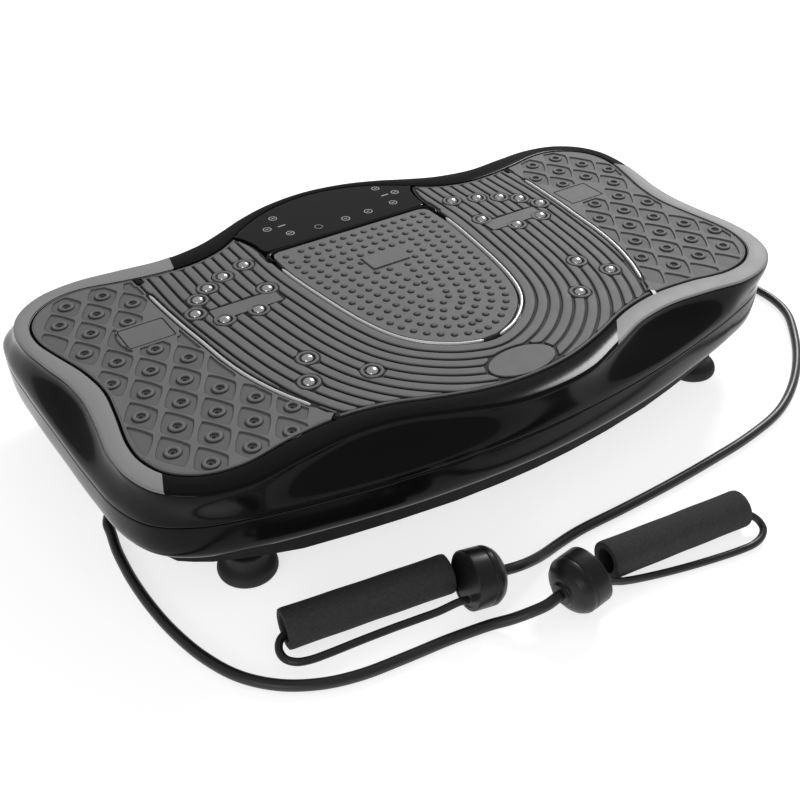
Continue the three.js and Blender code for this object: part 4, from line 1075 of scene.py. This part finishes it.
def pad_dots(outline):
    """The middles of the pad's bumps: nested rows that follow its edge, staggered, none too near."""
    x0, y0, x1, y1 = grown(PAD_PLATE, 3.6)
    spots = []
    for row in range(8):
        line = inward_row(outline, DOT_MARGIN + row * DOT_PITCH[1])
        if len(line) < 12:
            break
        line = np.roll(line, -int(np.argmax(np.abs(line[:, 0]) + line[:, 1])), 0)
        for spot in spaced(np.vstack([line, line[:1]]), DOT_PITCH[0])[:-1]:
            crowded = spots and norm(np.array(spots) - spot, axis=1).min() < DOT_NEAREST
            if not crowded and not (x0 < spot[0] < x1 and y0 < spot[1] < y1):
                spots.append(spot)
    return spots


def middle_pad():
    """The tongue between the arcs, with small round bumps and a blank label plate, a painted shadow along
    the plate's left and near sides, and painted shade round the bumps' feet.
    """
    top = BED_TOP + 0.7
    outline = pad_outline()
    x0, y0, x1, y1 = PAD_PLATE
    shape = Shape(
        flat_mesh([outline], MAT_BOTTOM, top, 0.5),
        # Painted shadow: a dark frame that shows past the label plate's left and near edges.
        flat_mesh([box_outline((x0 - 1.8, y0 - 2.2, x1, y1))], top - 0.5, top + 0.05, 0.02, 1.0),
        flat_mesh([box_outline(PAD_PLATE)], BED_TOP, BED_TOP + 1.5),
    )
    bump_profile = [(3.9, 0.0), (3.2, 0.03), (2.7, 0.6), (1.7, 1.15), (0, 1.4)]
    # Painted shade: dark round each bump's foot, lighter towards its top.
    ring_shades = [0.0, 1.0, 0.95, 0.5]
    shades = np.append(np.repeat(ring_shades, DOT_SEGMENTS), 0.15)
    for spot in pad_dots(outline):
        shape.add(*lathe(bump_profile, (*spot, top - 0.02), DOT_SEGMENTS), shades)
    shape.finish("pad_sheet", "pad", "deck", "middle_pad")


def clear_of(outline, spot, margin):
    """True if the spot is inside the outline and that far from its edge."""
    ahead = np.roll(outline, -1, 0)
    along = ahead - outline
    x, y = spot
    crosses = (outline[:, 1] > y) != (ahead[:, 1] > y)
    with np.errstate(divide="ignore", invalid="ignore"):
        at = outline[:, 0] + (y - outline[:, 1]) * along[:, 0] / along[:, 1]
    inside = np.count_nonzero(crosses & (x < at)) % 2 == 1
    share = np.clip(np.sum((spot - outline) * along, 1) / np.maximum(np.sum(along**2, 1), 1e-9), 0, 1)
    gap = norm(outline + along * share[:, None] - spot, axis=1).min()
    return inside and gap > margin


# ---- Trim, magnets, panel ----


def trim(name, half, side, node):
    line = spaced(catmull_rom(half), 2.5) * np.array([side, 1])
    edge = [(-1.2, -3), (-1.2, 0.2), (-0.75, 0.62)]
    shape = Shape(lip(line, [*edge, (0, 0.78), *mirrored(edge)], RIM_TOP, (0.35, 0.8), side))
    shape.finish(name, "trim", "deck", node, sharp=50)


def magnets(name, side):
    outline = [(side * x, y) for x, y in MAGNET_CARRIER][::-side]
    shape = Shape(flat_mesh([outline], *CARRIER_Z, 0.2))
    start, rise = MAGNET_DOME
    turns = np.linspace(0, math.pi / 2, 8, endpoint=False)
    dome = [(MAGNET_R * math.cos(t), start + rise * math.sin(t)) for t in turns]
    profile = [(0, 111.5), (MAGNET_R, 111.5), *dome, (0, start + rise)]
    for x, y in MAGNETS:
        shape.add(*lathe(profile, (side * x, y, 0), 28))
    shape.finish("magnet_domes_" + name, "magnet", "deck", "magnet_set_" + name)


def panel_outline(margin):
    edge = inset(RECESS, 1.2 + margin)
    far = edge[(edge[:, 1] > 151) & (np.abs(edge[:, 0]) < 105)]
    far = far[np.argsort(-far[:, 0])]
    side = catmull_rom(PANEL_SIDE, per_span=4) + np.array([-margin, margin])
    right = [(84 - margin, 107.2 + margin)] + [tuple(p) for p in side]
    return right + [tuple(p) for p in far] + mirrored(right)


def control_panel():
    frame_plate = Shape(flat_mesh([panel_outline(0.0)], MAT_BOTTOM, LENS_BOTTOM))
    frame_plate.finish("panel_frame", "gloss", "deck", "panel_bezel")
    window = Shape(flat_mesh([panel_outline(0.3)], LENS_BOTTOM + 0.1, RIM_TOP + 0.2, 0.7))
    window.finish("panel_window", "glass", "deck", "panel_lens")


def panel_gasket():
    """The rubber lip along the panel's near edge, hooked down at both ends."""
    right = [(0, 105.6), (40, 105.6), (70, 105.2), (84, 104), (90, 100), (91.5, 94), (90, 88.5)]
    line = spaced(catmull_rom(mirrored(right) + right[1:]), 2.2)
    edge = [(-2.1, -3), (-2.1, 0.5), (-1.2, 1.3)]
    shape = Shape(lip(line, [*edge, (0, 1.6), *mirrored(edge)], 119.6, (0.5, 0.85)))
    shape.finish("panel_gasket", "gloss", "deck", sharp=60)


def mark_ring(x, y, radius, width=0.9):
    return [np.array([x, y]) + circle(32) * size for size in (radius, radius - width)]


def mark_bar(x, y, length, width=1.1):
    half = np.array([length, width]) / 2
    return [[np.array([x, y]) + half * corner for corner in ((-1, -1), (1, -1), (1, 1), (-1, 1))]]


def panel_marks():
    """Plain touch marks printed on the window: rings, bars and plus signs."""
    low = RIM_TOP + 0.12
    plans = []
    for x, y in PANEL_KEYS:
        plans += [mark_ring(x, y, 4.2), mark_bar(x, y, 4.0)]
    plans += [mark_bar(-52, 145, 8, 1.6), mark_bar(67, 146, 8, 1.6)]
    plans += [mark_ring(7.5, 124, 4.4), mark_ring(34, 125, 4.4), mark_ring(-23, 124, 4.0, 0.5)]
    plans += [mark_bar(7.5, 124, 3.6), mark_bar(34, 125, 3.6)]
    shape = Shape(*(flat_mesh(outlines, low, low + 0.22, 0.04) for outlines in plans))
    shape.finish("panel_marks", "print", "deck")


# ---- Feet and rear fittings ----


def cad_box(node):
    """The CAD node's lowest and highest corner in millimetres."""
    return (Vector(corner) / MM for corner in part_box(node))


def feet():
    profile = [(0, 0), (19.5, 0), (23.6, 3.2), (24, 6.5), (22.6, 11), (17, 15), (16, 19)]
    profile += [(16, 23.7), (0, 23.7)]
    for place in ("front_left", "front_right", "rear_left", "rear_right"):
        low, high = cad_box("foot_" + place)
        middle = (low + high) / 2
        shape = Shape(lathe(rounded(profile, 1.6), (middle.x, middle.y, 0), 64))
        shape.finish("rubber_foot_" + place, "rubber", "base", "foot_" + place)


def socket_pins():
    low, high = cad_box("power_inlet")
    middle = (low + high) / 2
    pin = rounded([(0, 0), (1.25, 0), (1.25, 8.6), (0, 9.2)], 0.5)
    starts = [(middle.x + x, high.y - 14, middle.z) for x in (-3.6, 3.6)]
    shape = Shape(*(lathe(pin, start, 20, (0, 1, 0)) for start in starts))
    shape.finish("socket_pins", "steel", "base")


# ---- Pull bands ----


def bell_frame(handle):
    """The connector's axis, its left, its up, and the middle of its face at the grip's end."""
    ahead = heading(handle["bell_deg"])
    left = np.array([*left_of(ahead), 0])
    axis = np.array([*(ahead * math.cos(BELL_TILT)), -math.sin(BELL_TILT)])
    height = BELL_R * math.cos(BELL_TILT) + BELL_SHOULDER * math.sin(BELL_TILT) + LIFT
    return axis, left, np.cross(axis, left), np.array([*handle["bell"], height])


def bell_point(handle, along, aside, rise):
    axis, left, up, middle = bell_frame(handle)
    return middle + axis * along + left * aside * handle["grip_side"] + up * rise


def hook_point(handle, along, z):
    place = np.array([handle["eye_x"], EYE_Y]) + (along + HOOK_SLACK) * heading(handle["hook_deg"])
    return np.array([*place, z])


def band_route(name):
    handle = HANDLES[name]
    start = [hook_point(handle, HOOK_END + CORD_GAP, EYE_Z), hook_point(handle, HOOK_END + 12, EYE_Z - 1.5)]
    end = [bell_point(handle, BELL_LENGTH + far, 0, 0) for far in (13, CORD_GAP)]
    return [*start, *BAND_ROUTES[name], *end]


def loop_route(name):
    handle = HANDLES[name]
    out = [bell_point(handle, along, handle["strand_aside"], -9) for along in (-CORD_GAP, -7)]
    back = [bell_point(handle, -9, -9, -10), bell_point(handle, -CORD_GAP, -9, -10)]
    return [*out, *LOOP_ROUTES[name], *back]


def cord_piece(name, route, radius, node, with_pieces):
    """A round cord along a smooth line through the route's points."""
    line = catmull_rom(route)
    length = float(norm(np.diff(line, axis=0), axis=1).sum())
    curve = bpy.data.curves.new(name, "CURVE")
    curve.dimensions = "3D"
    curve.bevel_depth = radius * MM
    curve.bevel_resolution = 5
    curve.use_fill_caps = True
    add_spline(curve, line, closed=False)
    piece = place_piece(name, curve, "cord", "base", node)


def bell(name):
    """The connector: a satin cap with a rim at the grip's end, a seam line and a small collar."""
    axis, _, _, middle = bell_frame(HANDLES[name])
    body = [(0, 0.9), (19.6, 0.9), (20, 0.3), (BELL_R - 0.2, 0.3), (BELL_R, 1.6)]
    seam = [(0, -2.6), (-0.7, -2.2), (-0.1, -1.6), (-0.1, 1.5)]
    seam = [(BELL_R + radius, BELL_SHOULDER + along) for radius, along in seam]
    dome = [(22, 20.6), (19.6, 24.2), (16, 26.9), (12.4, 28.3), (10, 28.6)]
    collar = [(9.3, 29.2), (9, BELL_LENGTH - 0.3), (0, BELL_LENGTH - 0.3)]
    shape = Shape(lathe(rounded(body + seam + dome + collar, 0.7), middle, 72, axis))
    return shape.finish("connector_" + name, "satin", "base", "bell_" + name, sharp=50)


def grip(name):
    far, near = (np.array(p, float) for p in HANDLES[name]["grip"])
    length = norm(near - far)
    slack = [0.0, -0.25, -0.1, -0.35, -0.15, -0.3, 0.0]
    outer = [(GRIP_R + dip, s) for dip, s in zip(slack, np.linspace(3, length - 3, 7))]
    ends = [(GRIP_BORE_R, 0.9), (GRIP_R - 2.2, 0), (GRIP_R - 0.4, 0.8)]
    profile = ends + [tuple(p) for p in catmull_rom(outer, per_span=5)]
    profile += [(r, length - s) for r, s in ends[::-1]] + ends[:1]
    shape = Shape(lathe(profile, (*far, GRIP_R + LIFT), 56, (*(near - far), 0)))
    return shape.finish("foam_" + name, "foam", name + "_grip", "grip_" + name, sharp=50)


def tube(line, radius, segments):
    """A round rod along a line, with closed ends."""
    up = Vector((0.2, 0.1, 1)).normalized()
    rings = []
    for place, tangent in zip(line, np.gradient(line, axis=0)):
        along = Vector(tangent).normalized()
        across = along.cross(up).normalized()
        rings.append(place + radius * circle(segments) @ np.array([across, across.cross(along)]))
    last = (len(rings) - 1) * segments
    faces = loft_faces(len(rings), segments, False)
    faces += [tuple(range(segments))[::-1], tuple(range(last, last + segments))]
    return np.vstack(rings), faces


def hook_bend(handle, along, start, end):
    """One of the hook's two round ends, from one angle to another."""
    turns = [HOOK_BEND_R * heading(degrees) for degrees in np.linspace(start, end, 12)]
    return [hook_point(handle, along + ahead, EYE_Z + rise) for ahead, rise in turns]


def hook(name):
    """The snap hook at the band's inner end: a bent wire on a turned barrel."""
    handle = HANDLES[name]
    wire = np.array(hook_bend(handle, HOOK_REACH, 84, -90) + hook_bend(handle, 0, 270, 96))
    start = hook_point(handle, HOOK_REACH + HOOK_BEND_R - 1, EYE_Z)
    end = hook_point(handle, HOOK_END, EYE_Z)
    length = norm(end - start)
    barrel = [(0, 0), (3.4, 0), (5.6, 2), (5.6, 7.5), (4.8, 8.2), (5.6, 8.9)]
    barrel += [(5.6, length - 0.2), (0, length)]
    shape = Shape(tube(wire, HOOK_WIRE_R, 16), lathe(rounded(barrel, 0.6), start, 36, end - start))
    shape.finish("snap_hook_" + name, "hook", "base", "hook_" + name, sharp=50)


def hook_gate(name):
    """The sprung bar that closes the hook."""
    ends = [hook_point(HANDLES[name], along, EYE_Z + HOOK_BEND_R) for along in (1.6, HOOK_REACH - 2)]
    axis = ends[1] - ends[0]
    length = norm(axis)
    profile = rounded([(0, 0), (GATE_R, 0), (GATE_R, length), (0, length)], 0.5)
    shape = Shape(lathe(profile, ends[0], 24, axis))
    shape.finish("snap_gate_" + name, "hook", name + "_gate", "hook_gate_" + name, sharp=50)


# ---- CAD pieces that stay ----

CAD_LOOKS = {
    "tray": "base_tray power_inlet switch_housing power_rocker",
    "steel": "deck_plate pivot_axle link_pin motor motor_pulley driven_pulley eccentric_shaft"
             " band_eye_left band_eye_right motor_bracket",
    "alloy": "pivot_block_front pivot_block_rear shaft_block_front shaft_block_rear"
             " drive_link_front drive_link_rear",
    "rubber": "drive_belt bump_stop_front_left bump_stop_front_right bump_stop_rear_left"
              " bump_stop_rear_right",
    "board": "control_board display_board",
}


def dress_cad_nodes():
    for look, names in CAD_LOOKS.items():
        for name in names.split():
            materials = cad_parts[name].data.materials
            materials.clear()
            materials.append(LOOK[look])


# ---- Assembly ----

make_camera()
for handle_name in HANDLES:
    connector = bell(handle_name)
    hook(handle_name)
    hook_gate(handle_name)
    cord_piece("pull_band_" + handle_name, band_route(handle_name), BAND_R,
               "band_" + handle_name, [connector])
    cord_piece("strand_loop_" + handle_name, loop_route(handle_name), LOOP_R,
               "loop_" + handle_name, [grip(handle_name)])

top_cover()
lower_skirt()
mat_sheet()
mat_gap_shadow()
mat_ribs()
mat_border()
mat_rings()
mat_plates()
middle_pad()
control_panel()
panel_gasket()
panel_marks()
feet()
socket_pins()
for side_name, side_sign in (("left", -1), ("right", 1)):
    silver_plate(side_name)
    mat_ends(side_name, side_sign)
    magnets(side_name, side_sign)
    trim("side_strip_" + side_name, LINE_HALF, side_sign, "side_trim_" + side_name)
    trim("arc_strip_" + side_name, ARC_HALF, side_sign, "arc_trim_" + side_name)
dress_cad_nodes()
make_studio()
